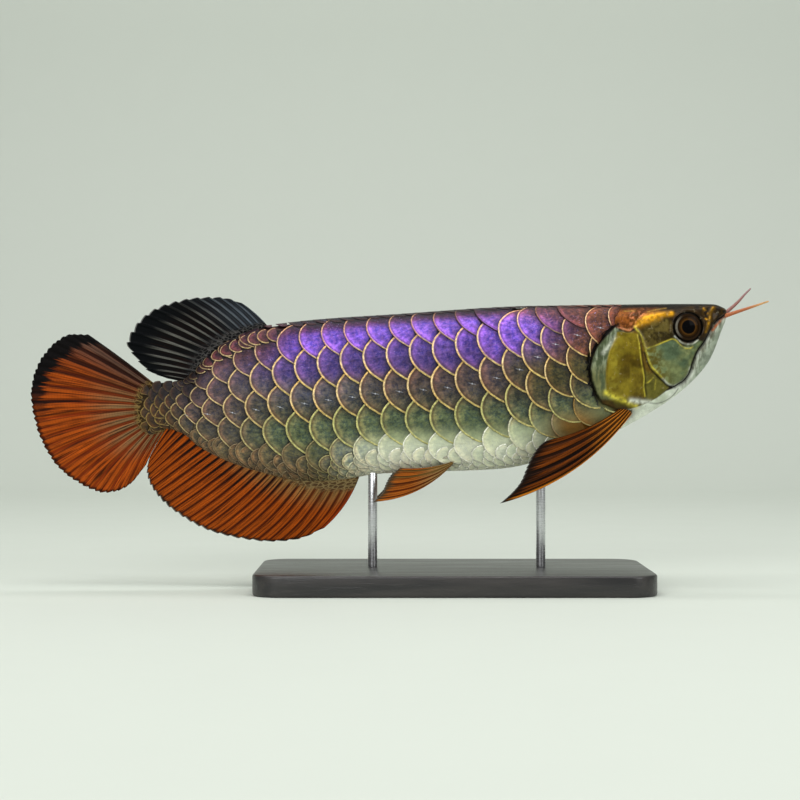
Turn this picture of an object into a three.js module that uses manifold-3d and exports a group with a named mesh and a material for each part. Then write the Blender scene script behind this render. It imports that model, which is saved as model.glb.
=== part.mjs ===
// A life-size Asian arowana on a plain display stand: a still model, swimming level.
// Units are millimetres, +Z is up and the fish heads along +X. The origin is the middle of the base's
// underside.
//
// The fish is drawn in a frame of its own, which one group then lifts onto the stand. There a place is
// [back, height]: back is the distance behind the snout tip, and height is above the body's axis.

import * as THREE from "three";
import { mergeVertices } from "three/addons/utils/BufferGeometryUtils.js";
import Module from "manifold-3d";

const wasm = await Module();
wasm.setup();

// Driving dimensions
const snoutX = 118; // the snout tip, ahead of the origin, which puts the weight over the base's middle
const axisHeight = 81; // the body's axis above the floor
const gap = 0.3; // between neighbours that touch
const baseSize = { length: 168, width: 86, height: 9, corner: 12, bevel: 1 };
const rodRadius = 2;
const rodBacks = { stand_rod_front: 80, stand_rod_rear: 152.5 };
const bodyLength = 255; // snout tip to the end of the scaled tail stalk

// Places are read off a picture taken level with the body's axis, from this far away on the right side.
// What lies nearer to the camera than the middle plane looks a little larger there than it is.
const camera = { back: 140.7, distance: 815 };

// The body's outline in side view and its half width, each as [back, value]
const topLine = [
  [0, 38.6], [1.7, 40], [6, 41.3], [15.5, 41.4], [85, 40.5], [141, 37.1], [199, 32], [212, 27], [222, 20.8],
  [229, 13.4], [235.5, 8.4], [249, 8.2], [255, 1.5],
];
const bottomLine = [
  [0, 36.9], [1.8, 30.6], [7.8, 16.3], [15.5, 7.3], [28.5, -2.7], [63, -20], [98, -29.9], [150, -32],
  [167, -34.8], [180, -35.4], [206, -30], [227, -20.8], [235, -14.4], [242, -12.6], [248, -15.6], [252, -14],
  [255, -7],
];
const halfWidth = [
  [0, 0.9], [1.7, 4], [4.7, 5.9], [16.5, 9.2], [41, 12.3], [72, 14.8], [98, 15.5], [125, 15.2], [175, 12],
  [214, 7.4], [240, 4], [255, 1.3],
];
// Where the flank is widest, as a share of the depth from the top, and how boxed each half's section is
const widestShare = [[0, 0.5], [6, 0.42], [40, 0.48], [100, 0.4], [160, 0.42], [200, 0.47], [255, 0.5]];
const upperBoxing = [[0, 2], [6, 2.5], [16, 2.9], [40, 2.8], [60, 2.5], [120, 2.3], [255, 2]];
const lowerBoxing = [[0, 2], [60, 1.8], [180, 1.7], [255, 2]];

// The lines that divide the head
const mouthLine = [
  [-4, 42], [0.2, 37.7], [7.3, 29], [12.1, 21.2], [15.5, 12.9], [18.6, 7.5], [22.4, 4.6], [27, -8],
];
const cheekEdge = [[38.4, 30.6], [36.7, 25.3], [34.1, 18.6], [31.5, 12.9], [28.5, 8.6], [24.5, 5.6]];
const gillFoot = [[26, 3.6], [30, 0.6], [35.5, -1.8], [41.4, -3.2]];
const gillRear = [
  [48.3, -3.6], [53.5, -1.7], [55.9, 2.8], [57.8, 8.2], [58.5, 13.4], [57.8, 18.1], [55.7, 22.9],
  [52.2, 27.2], [47.9, 30.6],
];
const gillThickness = 3;
// The head's rear edge, which runs under the gill covers
const headEdge = [[46, 60], [46.4, 34], [47.5, 20], [46, 6], [40.5, -6], [38, -30]];
const tailCutBack = 197; // where the trunk ends, at the root of the dorsal fin

const eye = { back: 17.8, height: 31.1, radius: 7, depth: 2.6, sunk: 1.3 };
const barbels = {
  barbel_right: { side: -1, line: [[1.6, 35.9], [-5.2, 38.2], [-12.5, 40.6], [-18.6, 42.7]], splay: 9 },
  barbel_left: { side: 1, line: [[1.4, 36.6], [-4.4, 41.6], [-7.9, 45.4], [-10.8, 48.3]], splay: 9 },
};
const barbelRadius = { root: 1, tip: 0.35 };

// Each fin is a fan of rays from its root line to its margin. Thicknesses are at the root and at the margin,
// and the two bows are those of its first and its last ray.
const fins = {
  caudal_fin: {
    rays: 16,
    root: [[246, 6.6], [250, 1.6], [251, -4.3], [250, -10.5], [241.5, -12.5]],
    margin: [
      [275.4, 28.4], [284.9, 28], [292.7, 22], [297.8, 13.8], [300, 3.5], [299, -6.5], [295.7, -17.3],
      [289.2, -28.1], [279.7, -35.8], [268.9, -40.1], [258.5, -37.5], [250.6, -28.6],
    ],
    bow: [0.01, 0.03],
    thick: [2.4, 0.9],
  },
  dorsal_fin: {
    rays: 18,
    root: [[197, 31], [207, 26.5], [217, 20], [224, 12.5], [231, 6.6]],
    margin: [
      [209, 41.9], [217.6, 44.4], [231.4, 43.9], [245.2, 40.1], [253.8, 33.7], [258.6, 25.4], [256.8, 20.6],
      [249.9, 12.9], [241.7, 9.4],
    ],
    bow: [0.04, 0.02],
    thick: [2.2, 0.8],
  },
  anal_fin: {
    rays: 25,
    root: [
      [157.5, -31], [176, -32.5], [192, -30.5], [208, -26.5], [223, -19.5], [233, -11.5], [240, -10],
    ],
    margin: [
      [173.5, -55.3], [183.9, -59.9], [197.7, -61.1], [213.2, -59.1], [227.1, -54.7], [240.5, -46.2],
      [247.4, -38.2], [249.3, -31.2], [247.4, -24.8],
    ],
    bow: [-0.07, 0.02],
    thick: [2.6, 0.9],
  },
  pectoral_fin: {
    rays: 7,
    root: [[39.6, -4.4], [41.5, -3.4], [45, -3]],
    margin: [
      [97.6, -44.7], [92.3, -39.9], [88.5, -35], [85.5, -27.6], [82.4, -22], [78.6, -18.2], [73.4, -16.6],
    ],
    bow: [-0.09, -0.05],
    thick: [2.4, 0.8],
    splay: 0.24,
  },
  pelvic_fin: {
    rays: 6,
    root: [[118.2, -28], [117, -27], [116.2, -25.8]],
    margin: [[152.4, -44], [148.4, -40], [146.3, -35.4], [143.6, -31.6], [141, -29.2]],
    bow: [-0.1, -0.06],
    thick: [1.8, 0.8],
    splay: 0.24,
  },
};
// The far pectoral fin is folded a little closer, behind the near one: a turn in degrees and its reach
const foldedFin = { name: "pectoral_fin", side: 1, turn: 5, reach: 0.88 };

const colours = {
  head: 0x6d5c22, lower_jaw: 0xb9bfae, gill_cover: 0x857a2c, trunk: 0x5a4a7c, tail: 0x5c5360, eye: 0x2a1808,
  barbel: 0xa0552a, caudal_fin: 0xa8440c, dorsal_fin: 0x22262b, anal_fin: 0xa5480f, pectoral_fin: 0x86400f,
  pelvic_fin: 0x9c5018, stand_base: 0x1d1d1f, stand_rod: 0xb4b7ba,
};

// A smooth line through points, with no overshoot, read at any distance back. Its own variable is the
// root of that distance, so every line meets the snout square on and the nose comes out round.
function smoothLine(points) {
  const x = points.map(([back]) => Math.sqrt(back));
  const y = points.map((p) => p[1]);
  const steps = x.slice(1).map((v, i) => v - x[i]);
  const slopes = steps.map((h, i) => (y[i + 1] - y[i]) / h);
  const tangents = y.map((_, i) => {
    if (i === 0 || i === slopes.length) {
      return slopes[Math.min(i, slopes.length - 1)];
    }
    if (slopes[i - 1] * slopes[i] <= 0) {
      return 0;
    }
    const before = 2 * steps[i] + steps[i - 1];
    const after = steps[i] + 2 * steps[i - 1];
    return (before + after) / (before / slopes[i - 1] + after / slopes[i]);
  });
  return (back) => {
    const at = Math.sqrt(Math.min(Math.max(back, 0), points.at(-1)[0]));
    const i = Math.max(0, Math.min(slopes.length - 1, x.findIndex((v) => v > at) - 1));
    const k = at >= x.at(-1) ? slopes.length - 1 : i;
    const t = (at - x[k]) / steps[k];
    const blend = t * t * (3 - 2 * t);
    return y[k] * (1 - blend) + y[k + 1] * blend
      + steps[k] * t * (1 - t) * (tangents[k] * (1 - t) - tangents[k + 1] * t);
  };
}

const topAt = smoothLine(topLine);
const bottomAt = smoothLine(bottomLine);
const widthAt = smoothLine(halfWidth);
const shareAt = smoothLine(widestShare);
const upperAt = smoothLine(upperBoxing);
const lowerAt = smoothLine(lowerBoxing);

// A place in the fish's frame
const place = (back, y, height) => new THREE.Vector3(-back, y, height);

// The body's section at a distance back. Turn starts at the back's ridge and is half a turn at the keel.
function sectionPoint(back, turn, grow = 0) {
  const top = topAt(back) + grow;
  const bottom = bottomAt(back) - grow;
  const belt = top - shareAt(back) * (top - bottom);
  const upper = Math.cos(turn) >= 0;
  const power = 2 / (upper ? upperAt(back) : lowerAt(back));
  const reach = upper ? top - belt : belt - bottom;
  const y = (widthAt(back) + grow) * Math.sign(Math.sin(turn)) * Math.abs(Math.sin(turn)) ** power;
  const height = belt + reach * Math.sign(Math.cos(turn)) * Math.abs(Math.cos(turn)) ** power;
  return place(back, y, height);
}

// Half the body's breadth at a place on its flank
function flankY(back, height) {
  const top = topAt(back);
  const bottom = bottomAt(back);
  const belt = top - shareAt(back) * (top - bottom);
  const power = height > belt ? upperAt(back) : lowerAt(back);
  const share = Math.min(1, Math.abs(height - belt) / (height > belt ? top - belt : belt - bottom));
  return widthAt(back) * (1 - share ** power) ** (1 / power);
}

// Where a place in the picture lies if it is this far out from the middle plane
function trueSize([back, height], out) {
  const share = 1 - out / camera.distance;
  return [camera.back + (back - camera.back) * share, height * share];
}

const onFlank = (line) => line.map((p) => trueSize(p, flankY(...p)));

// A closed three.js geometry as a manifold solid, turned to face outwards
function solidOf(geometry) {
  const bare = geometry.index ? geometry.toNonIndexed() : geometry.clone();
  bare.deleteAttribute("normal");
  bare.deleteAttribute("uv");
  const merged = mergeVertices(bare, 1e-4);
  const triVerts = new Uint32Array(merged.index.array);
  const vertProperties = merged.attributes.position.array;
  const made = new wasm.Manifold(new wasm.Mesh({ numProp: 3, vertProperties, triVerts }));
  if (made.volume() > 0) {
    return made;
  }
  for (let i = 0; i < triVerts.length; i += 3) {
    triVerts.subarray(i, i + 3).reverse();
  }
  return new wasm.Manifold(new wasm.Mesh({ numProp: 3, vertProperties, triVerts }));
}

// The largest body of a solid, as a three.js geometry
function geometryOf(solid) {
  const pieces = solid.decompose().sort((a, b) => b.volume() - a.volume());
  const mesh = pieces[0].getMesh();
  const geometry = new THREE.BufferGeometry();
  geometry.setAttribute("position", new THREE.BufferAttribute(mesh.vertProperties, 3));
  geometry.setIndex(new THREE.BufferAttribute(mesh.triVerts, 1));
  const flat = geometry.toNonIndexed();
  flat.computeVertexNormals();
  return flat;
}

// Rings of points joined into a skin, with a cap on a middle point at each end
function loft(rings) {
  const around = rings[0].length;
  const points = [...rings.flat()];
  const faces = [];
  for (let i = 0; i + 1 < rings.length; i++) {
    for (let k = 0; k < around; k++) {
      const a = i * around + k;
      const b = i * around + ((k + 1) % around);
      faces.push([a, b, b + around], [a, b + around, a + around]);
    }
  }
  for (const [i, ring] of [[0, rings[0]], [rings.length - 1, rings.at(-1)]]) {
    const middle = ring.reduce((sum, p) => sum.add(p), new THREE.Vector3()).divideScalar(around);
    points.push(middle);
    for (let k = 0; k < around; k++) {
      const edge = [i * around + k, i * around + ((k + 1) % around)];
      faces.push(i ? [edge[0], edge[1], points.length - 1] : [edge[1], edge[0], points.length - 1]);
    }
  }
  return fromFaces(points, faces);
}

function fromFaces(points, faces) {
  const corners = faces.flat().flatMap((i) => points[i].toArray());
  const geometry = new THREE.BufferGeometry();
  geometry.setAttribute("position", new THREE.Float32BufferAttribute(corners, 3));
  return geometry;
}

// The body between two distances back, grown or shrunk all over by a few tenths
const stationCount = { snout: 8, head: 7, trunk: 12, stalk: 13 };
const aroundBody = 24;
function bodySolid(grow = 0, from = 0, to = bodyLength) {
  const backs = [];
  const snoutEnd = 14;
  const headEnd = 60;
  const stalkStart = 199;
  const span = (start, end, count, power = 1) => {
    for (let i = 0; i < count; i++) {
      backs.push(start + (end - start) * (i / count) ** power);
    }
  };
  span(0, snoutEnd, stationCount.snout, 2);
  span(snoutEnd, headEnd, stationCount.head);
  span(headEnd, stalkStart, stationCount.trunk);
  span(stalkStart, bodyLength, stationCount.stalk);
  const kept = [...backs, bodyLength].filter((back) => back >= from && back <= to);
  const rings = kept.map((back) => {
    const shift = back === 0 ? grow : back === bodyLength ? -grow : 0;
    const ring = [];
    for (let k = 0; k < aroundBody; k++) {
      const point = sectionPoint(back, (2 * Math.PI * k) / aroundBody, grow);
      ring.push(point.setX(point.x + shift));
    }
    return ring;
  });
  return solidOf(loft(rings));
}

// A side-view outline carried across the body, from y low to y high
function slab(outline, low, high) {
  const shape = new THREE.Shape(outline.map(([back, height]) => new THREE.Vector2(-back, height)));
  const geometry = new THREE.ExtrudeGeometry(shape, { depth: high - low, bevelEnabled: false });
  geometry.rotateX(Math.PI / 2);
  geometry.translate(0, high, 0);
  return solidOf(geometry);
}

// A line moved sideways by a distance, to the left of its own direction in [back, height]
function moved(line, distance) {
  return line.map((p, i) => {
    const before = line[Math.max(0, i - 1)];
    const after = line[Math.min(line.length - 1, i + 1)];
    const along = new THREE.Vector2(after[0] - before[0], after[1] - before[1]).normalize();
    return [p[0] - along.y * distance, p[1] + along.x * distance];
  });
}

// The head's pieces, the trunk and the tail stalk, all cut from one body
function cutBody() {
  const whole = bodySolid();
  const reach = 30;
  const jawOutline = (line) => [...line, [27, -30], [-20, -30], [-20, 42]];
  const mouth = onFlank(mouthLine);
  const jawSpace = slab(jawOutline(mouth), -reach, reach);
  const jawRoom = slab(jawOutline(moved(mouth, gap)), -reach, reach);
  const headOutline = (line) => [...line, [-20, -30], [-20, 60]];
  const hidden = onFlank(headEdge);
  const headSpace = slab(headOutline(hidden), -reach, reach);
  const headRoom = slab(headOutline(moved(hidden, gap)), -reach, reach);
  const gillOutline = onFlank([...cheekEdge, ...gillFoot, ...gillRear]);
  const plateOutline = moved([...gillOutline, gillOutline[0]], gap).slice(0, -1);
  const gillReach = [13, 80];
  const gillShell = whole.subtract(bodySolid(-gillThickness, ...gillReach));
  const gillHollow = bodySolid(gap).subtract(bodySolid(-gillThickness - gap, ...gillReach));
  const gills = [-1, 1].map((side) => {
    const [low, high] = side < 0 ? [-reach, -1] : [1, reach];
    return {
      plate: gillShell.intersect(slab(plateOutline, low, high)),
      room: gillHollow.intersect(slab(gillOutline, low, high)),
    };
  });
  const tailOutline = (back) => [[back, 80], [back, -80], [400, -80], [400, 80]];
  const tailSpace = slab(tailOutline(tailCutBack + gap), -reach, reach);
  const tailRoom = slab(tailOutline(tailCutBack), -reach, reach);
  const withoutGills = (solid) => gills.reduce((left, { room }) => left.subtract(room), solid);
  const withoutEyes = (solid) => solid.subtract(eyeSolid(-1, gap)).subtract(eyeSolid(1, gap));
  return {
    lower_jaw: whole.intersect(jawSpace),
    head: withoutEyes(withoutGills(whole.intersect(headSpace).subtract(jawRoom))),
    gill_cover_right: gills[0].plate,
    gill_cover_left: gills[1].plate,
    trunk: withoutGills(whole.subtract(headRoom).subtract(tailRoom)),
    tail: whole.intersect(tailSpace),
  };
}

function eyeSolid(side, grow = 0) {
  const ball = new THREE.SphereGeometry(1, 20, 10);
  ball.scale(eye.radius + grow, eye.depth + grow, eye.radius + grow);
  ball.translate(-eye.back, side * (flankY(eye.back, eye.height) - eye.sunk), eye.height);
  return solidOf(ball);
}

// A smooth line through [back, height] points, read from 0 to 1
function spline(points) {
  const places = points.map(([back, height]) => place(back, 0, height));
  const curve = new THREE.CatmullRomCurve3(places, false, "centripetal");
  return (share) => curve.getPoint(share);
}

// A feeler that tapers from root to tip
function barbelSolid({ side, line, splay }) {
  const curve = spline(line);
  const steps = 8;
  const sides = 7;
  const rings = [];
  for (let i = 0; i <= steps; i++) {
    const share = i / steps;
    const middle = curve(share);
    const ahead = curve(Math.min(1, share + 0.02)).sub(curve(Math.max(0, share - 0.02))).normalize();
    const across = new THREE.Vector3(0, 1, 0);
    const up = new THREE.Vector3().crossVectors(across, ahead);
    const out = 1.4 + splay * share;
    const [back, height] = trueSize([-middle.x, middle.z], -side * out);
    middle.set(-back, side * out, height);
    const radius = barbelRadius.root + (barbelRadius.tip - barbelRadius.root) * share;
    const ring = [];
    for (let k = 0; k < sides; k++) {
      const turn = (2 * Math.PI * k) / sides;
      const outward = across.clone().multiplyScalar(Math.cos(turn)).addScaledVector(up, Math.sin(turn));
      ring.push(middle.clone().addScaledVector(outward, radius));
    }
    rings.push(ring);
  }
  return solidOf(loft(rings));
}

// A line turned and shortened about the first point of the fin's root
function folded(line, [back, height], { turn, reach }) {
  const angle = (turn * Math.PI) / 180;
  const [c, s] = [Math.cos(angle) * reach, Math.sin(angle) * reach];
  return line.map(([x, z]) => [
    back + (x - back) * c + (z - height) * s,
    height + (z - height) * c - (x - back) * s,
  ]);
}

// A fan of rays and webs with a front and a back skin. Side is 0 for a fin on the middle plane.
function finSolid({ rays, root, margin, bow, thick, splay = 0 }, side = 0) {
  const rootAt = spline(root);
  const marginAt = spline(margin);
  const columns = 2 * rays - 1;
  const rows = 4;
  const webShare = 0.72; // a web's thickness against its rays'
  const webShort = 0.02; // how far a web's edge falls short of the ray tips
  const skins = [-1, 1].map((face) => {
    const grid = [];
    for (let k = 0; k < columns; k++) {
      const across = k / (columns - 1);
      const isWeb = k % 2 === 1;
      const from = rootAt(across);
      const to = marginAt(across);
      const length = from.distanceTo(to);
      const sideways = new THREE.Vector3(to.z - from.z, 0, from.x - to.x).normalize();
      for (let i = 0; i <= rows; i++) {
        const share = (i / rows) * (isWeb ? 1 - webShort : 1);
        const bend = (bow[0] + (bow[1] - bow[0]) * across) * length * 4 * share * (1 - share);
        const p = from.clone().lerp(to, share).addScaledVector(sideways, bend);
        const out = side ? flankY(-from.x, from.z) - 1.2 + splay * length * share : 0;
        const [back, height] = trueSize([-p.x, p.z], out);
        const half = (thick[0] + (thick[1] - thick[0]) * Math.sqrt(share)) * (isWeb ? webShare : 1) / 2;
        grid.push(place(back, side * out + face * half, height));
      }
    }
    return grid;
  });
  const points = skins.flat();
  const behind = columns * (rows + 1);
  const faces = [];
  const quad = (a, b, c, d) => faces.push([a, b, c], [a, c, d]);
  const at = (k, i) => k * (rows + 1) + i;
  for (let k = 0; k + 1 < columns; k++) {
    for (let i = 0; i < rows; i++) {
      quad(at(k, i), at(k + 1, i), at(k + 1, i + 1), at(k, i + 1));
      quad(behind + at(k, i), behind + at(k, i + 1), behind + at(k + 1, i + 1), behind + at(k + 1, i));
    }
    quad(at(k, 0), behind + at(k, 0), behind + at(k + 1, 0), at(k + 1, 0));
    quad(at(k, rows), at(k + 1, rows), behind + at(k + 1, rows), behind + at(k, rows));
  }
  for (let i = 0; i < rows; i++) {
    quad(at(0, i), at(0, i + 1), behind + at(0, i + 1), behind + at(0, i));
    const last = columns - 1;
    quad(at(last, i), behind + at(last, i), behind + at(last, i + 1), at(last, i + 1));
  }
  return solidOf(fromFaces(points, faces));
}

// The stand: a flat base with rounded corners, and two rods that end against the belly
function baseGeometry() {
  const { length, width, height, corner, bevel } = baseSize;
  const [x, y] = [length / 2 - bevel, width / 2 - bevel];
  const shape = new THREE.Shape();
  shape.absarc(x - corner, y - corner, corner, 0, Math.PI / 2);
  shape.absarc(corner - x, y - corner, corner, Math.PI / 2, Math.PI);
  shape.absarc(corner - x, corner - y, corner, Math.PI, 1.5 * Math.PI);
  shape.absarc(x - corner, corner - y, corner, 1.5 * Math.PI, 2 * Math.PI);
  const geometry = new THREE.ExtrudeGeometry(shape, {
    depth: height - 2 * bevel,
    curveSegments: 5,
    bevelThickness: bevel,
    bevelSize: bevel,
    bevelSegments: 1,
  });
  return geometry.translate(0, 0, bevel);
}

function rodSolid(back) {
  const low = baseSize.height + gap - axisHeight;
  const high = bottomAt(back) + 2.5;
  const rod = new THREE.CylinderGeometry(rodRadius, rodRadius, high - low, 20);
  rod.rotateX(Math.PI / 2);
  rod.translate(-back, 0, (high + low) / 2);
  return solidOf(rod);
}

function addPiece(group, name, geometry, colour, roughness = 0.4, metalness = 0.1) {
  const material = new THREE.MeshStandardMaterial({ color: colour, roughness, metalness });
  const mesh = new THREE.Mesh(geometry, material);
  mesh.name = name;
  group.add(mesh);
}

const model = new THREE.Group();
const fish = new THREE.Group();
fish.position.set(snoutX, 0, axisHeight);
model.add(fish);

for (const [name, solid] of Object.entries(cutBody())) {
  addPiece(fish, name, geometryOf(solid), colours[name.replace(/_(left|right)$/, "")]);
}

const bodyRoom = bodySolid(gap);
const clear = (solid) => geometryOf(solid.subtract(bodyRoom));
for (const [end, side] of [["right", -1], ["left", 1]]) {
  addPiece(fish, `eye_${end}`, geometryOf(eyeSolid(side)), colours.eye, 0.1);
  addPiece(fish, `barbel_${end}`, clear(barbelSolid(barbels[`barbel_${end}`])), colours.barbel);
  for (const name of ["pectoral_fin", "pelvic_fin"]) {
    const fin = { ...fins[name] };
    if (name === foldedFin.name && side === foldedFin.side) {
      fin.margin = folded(fin.margin, fin.root[0], foldedFin);
    }
    addPiece(fish, `${name}_${end}`, clear(finSolid(fin, side)), colours[name]);
  }
}
for (const name of ["dorsal_fin", "anal_fin", "caudal_fin"]) {
  addPiece(fish, name, clear(finSolid(fins[name])), colours[name]);
}
for (const [name, back] of Object.entries(rodBacks)) {
  addPiece(fish, name, clear(rodSolid(back)), colours.stand_rod, 0.3, 0.9);
}
addPiece(model, "stand_base", baseGeometry(), colours.stand_base, 0.5, 0);

export default model;
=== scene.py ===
# Asian arowana on a display stand: skin, scales, fins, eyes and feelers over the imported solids.
import math
import bpy
import numpy as np
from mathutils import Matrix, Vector


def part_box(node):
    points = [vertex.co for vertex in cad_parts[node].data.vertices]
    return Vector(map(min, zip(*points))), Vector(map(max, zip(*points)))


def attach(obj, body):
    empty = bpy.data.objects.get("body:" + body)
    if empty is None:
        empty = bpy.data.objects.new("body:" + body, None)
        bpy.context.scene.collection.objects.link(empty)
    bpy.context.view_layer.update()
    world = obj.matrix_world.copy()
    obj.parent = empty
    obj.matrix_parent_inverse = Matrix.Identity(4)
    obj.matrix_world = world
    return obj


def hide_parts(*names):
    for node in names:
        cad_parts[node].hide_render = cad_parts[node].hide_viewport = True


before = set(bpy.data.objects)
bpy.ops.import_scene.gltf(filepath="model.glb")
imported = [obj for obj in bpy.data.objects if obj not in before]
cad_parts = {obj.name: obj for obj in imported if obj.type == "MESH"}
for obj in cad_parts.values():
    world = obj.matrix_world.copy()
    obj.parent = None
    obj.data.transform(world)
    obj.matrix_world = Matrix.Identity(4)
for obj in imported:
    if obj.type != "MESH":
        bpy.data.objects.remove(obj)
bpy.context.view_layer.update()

mm = 0.001
fullTurn = 6.2832
weldDistance = 2e-6

# A place on the fish is [back, height] in mm: back from the snout tip, height above the body's axis.
body = {
    "length": 255,
    "crown": 41.4,  # the head's highest point
    "top": [[0, 38.6], [1.7, 40], [6, 41.3], [15.5, 41.4], [85, 40.5], [141, 37.1], [199, 32], [212, 27],
            [222, 20.8], [229, 13.4], [235.5, 8.4], [249, 8.2], [255, 1.5]],
    "bottom": [[0, 36.9], [1.8, 30.6], [7.8, 16.3], [15.5, 7.3], [28.5, -2.7], [63, -20], [98, -29.9],
               [150, -32], [167, -34.8], [180, -35.4], [206, -30], [227, -20.8], [235, -14.4], [242, -12.6],
               [248, -15.6], [252, -14], [255, -7]],
    "halfWidth": [[0, 0.9], [1.7, 4], [4.7, 5.9], [16.5, 9.2], [41, 12.3], [72, 14.8], [98, 15.5],
                  [125, 15.2], [175, 12], [214, 7.4], [240, 4], [255, 1.3]],
    "widest": [[0, 0.5], [6, 0.42], [40, 0.48], [100, 0.4], [160, 0.42], [200, 0.47], [255, 0.5]],
    "upperBoxing": [[0, 2], [6, 2.5], [16, 2.9], [40, 2.8], [60, 2.5], [120, 2.3], [255, 2]],
    "lowerBoxing": [[0, 2], [60, 1.8], [180, 1.7], [255, 2]],
    "snoutHeight": 37.7,
    "endHeight": -3,
    "coatDepth": 0.85,  # how far the skin lies under the scales
    "gapDepth": 1.0,  # the groove behind the gill cover
}
# The photograph's camera stands level with the body's axis, on the fish's right
camera = {"back": 140.7, "distance": 815, "lens": 85, "sensor": 36}
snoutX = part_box("head")[1][0]
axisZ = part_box("head")[1][2] - body["crown"] * mm


# Small helpers for lines, masks and colours

def smoothLine(points):
    x = np.sqrt([p[0] for p in points])
    y = np.array([p[1] for p in points], float)
    steps = np.diff(x)
    slopes = np.diff(y) / steps
    tangents = np.concatenate([[slopes[0]], np.zeros(len(slopes) - 1), [slopes[-1]]])
    for i in range(1, len(slopes)):
        if slopes[i - 1] * slopes[i] > 0:
            before = 2 * steps[i] + steps[i - 1]
            after = steps[i] + 2 * steps[i - 1]
            tangents[i] = (before + after) / (before / slopes[i - 1] + after / slopes[i])

    def read(back):
        at = np.clip(np.sqrt(np.maximum(back, 0)), x[0], x[-1])
        i = np.clip(np.searchsorted(x, at, side="right") - 1, 0, len(steps) - 1)
        t = (at - x[i]) / steps[i]
        blend = t * t * (3 - 2 * t)
        bend = steps[i] * t * (1 - t) * (tangents[i] * (1 - t) - tangents[i + 1] * t)
        return y[i] * (1 - blend) + y[i + 1] * blend + bend
    return read


# Soft masks: smooth rises to 1, fade falls to 0, within does both, and bump is 1 at the middle only
def smooth(value, start, end):
    t = np.clip((value - start) / (end - start), 0, 1)
    return t * t * (3 - 2 * t)


def fade(value, start, end):
    return 1 - smooth(value, start, end)


def within(value, start, full, going, gone):
    return smooth(value, start, full) * fade(value, going, gone)


def bump(value, middle, reach):
    return np.exp(-((value - middle) / reach) ** 2)


def rgb(red, green, blue):
    share = np.array([red, green, blue]) / 255
    return np.where(share < 0.04045, share / 12.92, ((share + 0.055) / 1.055) ** 2.4)


def paint(colours, colour, mask):
    return colours + (colour - colours) * mask[..., None]


# Colours from a palette, each laid over the ones before it by its mask
def paintLayers(palette, first, layers):
    colours = palette[first]
    for name, mask in layers:
        colours = paint(colours, palette[name], mask)
    return colours


# Soft patches from 0 to 1, about as large as size
def cloud(x, y, size, seed):
    cells = 64
    grid = np.random.default_rng(seed).random((cells, cells))
    total = 0
    for octave in range(3):
        u, v = x / size * 2 ** octave + 500.3, y / size * 2 ** octave + 500.7
        i, j = np.floor(u).astype(int), np.floor(v).astype(int)
        s, t = smooth(u - i, 0, 1), smooth(v - j, 0, 1)
        i, j, nextI, nextJ = i % cells, j % cells, (i + 1) % cells, (j + 1) % cells
        low = grid[i, j] * (1 - s) + grid[nextI, j] * s
        high = grid[i, nextJ] * (1 - s) + grid[nextI, nextJ] * s
        total = total + (low * (1 - t) + high * t) / 2 ** octave
    return total / 1.75  # the octaves' weights together


def lineDistance(line, x, y):
    best = np.full(np.shape(x), 1e9)
    for (ax, ay), (bx, by) in zip(line[:-1], line[1:]):
        dx, dy = bx - ax, by - ay
        t = np.clip(((x - ax) * dx + (y - ay) * dy) / (dx * dx + dy * dy), 0, 1)
        best = np.minimum(best, np.hypot(x - ax - t * dx, y - ay - t * dy))
    return best


# Distance to an outline's edge, above 0 inside it
def insideDistance(outline, x, y):
    ring = list(outline) + [outline[0]]
    inside = np.zeros(np.shape(x), bool)
    for (ax, ay), (bx, by) in zip(ring[:-1], ring[1:]):
        if ay != by:
            crossing = ax + (y - ay) * (bx - ax) / (by - ay)
            inside ^= ((ay > y) != (by > y)) & (x < crossing)
    return np.where(inside, 1, -1) * lineDistance(ring, x, y)


def rounded(points, perSpan=8):
    p = np.array(points, float)
    p = np.vstack([2 * p[0] - p[1], p, 2 * p[-1] - p[-2]])
    out = []
    for a, b, c, d in zip(p[:-3], p[1:-2], p[2:-1], p[3:]):
        for t in np.arange(perSpan) / perSpan:
            out.append(0.5 * (2 * b + (c - a) * t + (2 * a - 5 * b + 4 * c - d) * t ** 2
                              + (3 * b - a - 3 * c + d) * t ** 3))
    return np.array(out + [p[-2]])


def along(points, shares):
    line = rounded(points, 24)
    steps = np.concatenate([[0], np.cumsum(np.hypot(*np.diff(line, axis=0).T))])
    at = np.asarray(shares) * steps[-1]
    return np.stack([np.interp(at, steps, line[:, 0]), np.interp(at, steps, line[:, 1])], -1)


# The body's surface, as a table over back and over the share of the way round from ridge to keel

topAt, bottomAt = smoothLine(body["top"]), smoothLine(body["bottom"])
widthAt, widestAt = smoothLine(body["halfWidth"]), smoothLine(body["widest"])
upperAt, lowerAt = smoothLine(body["upperBoxing"]), smoothLine(body["lowerBoxing"])
tableSize = {"stations": 700, "turns": 241, "fineTurns": 1201}


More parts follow.
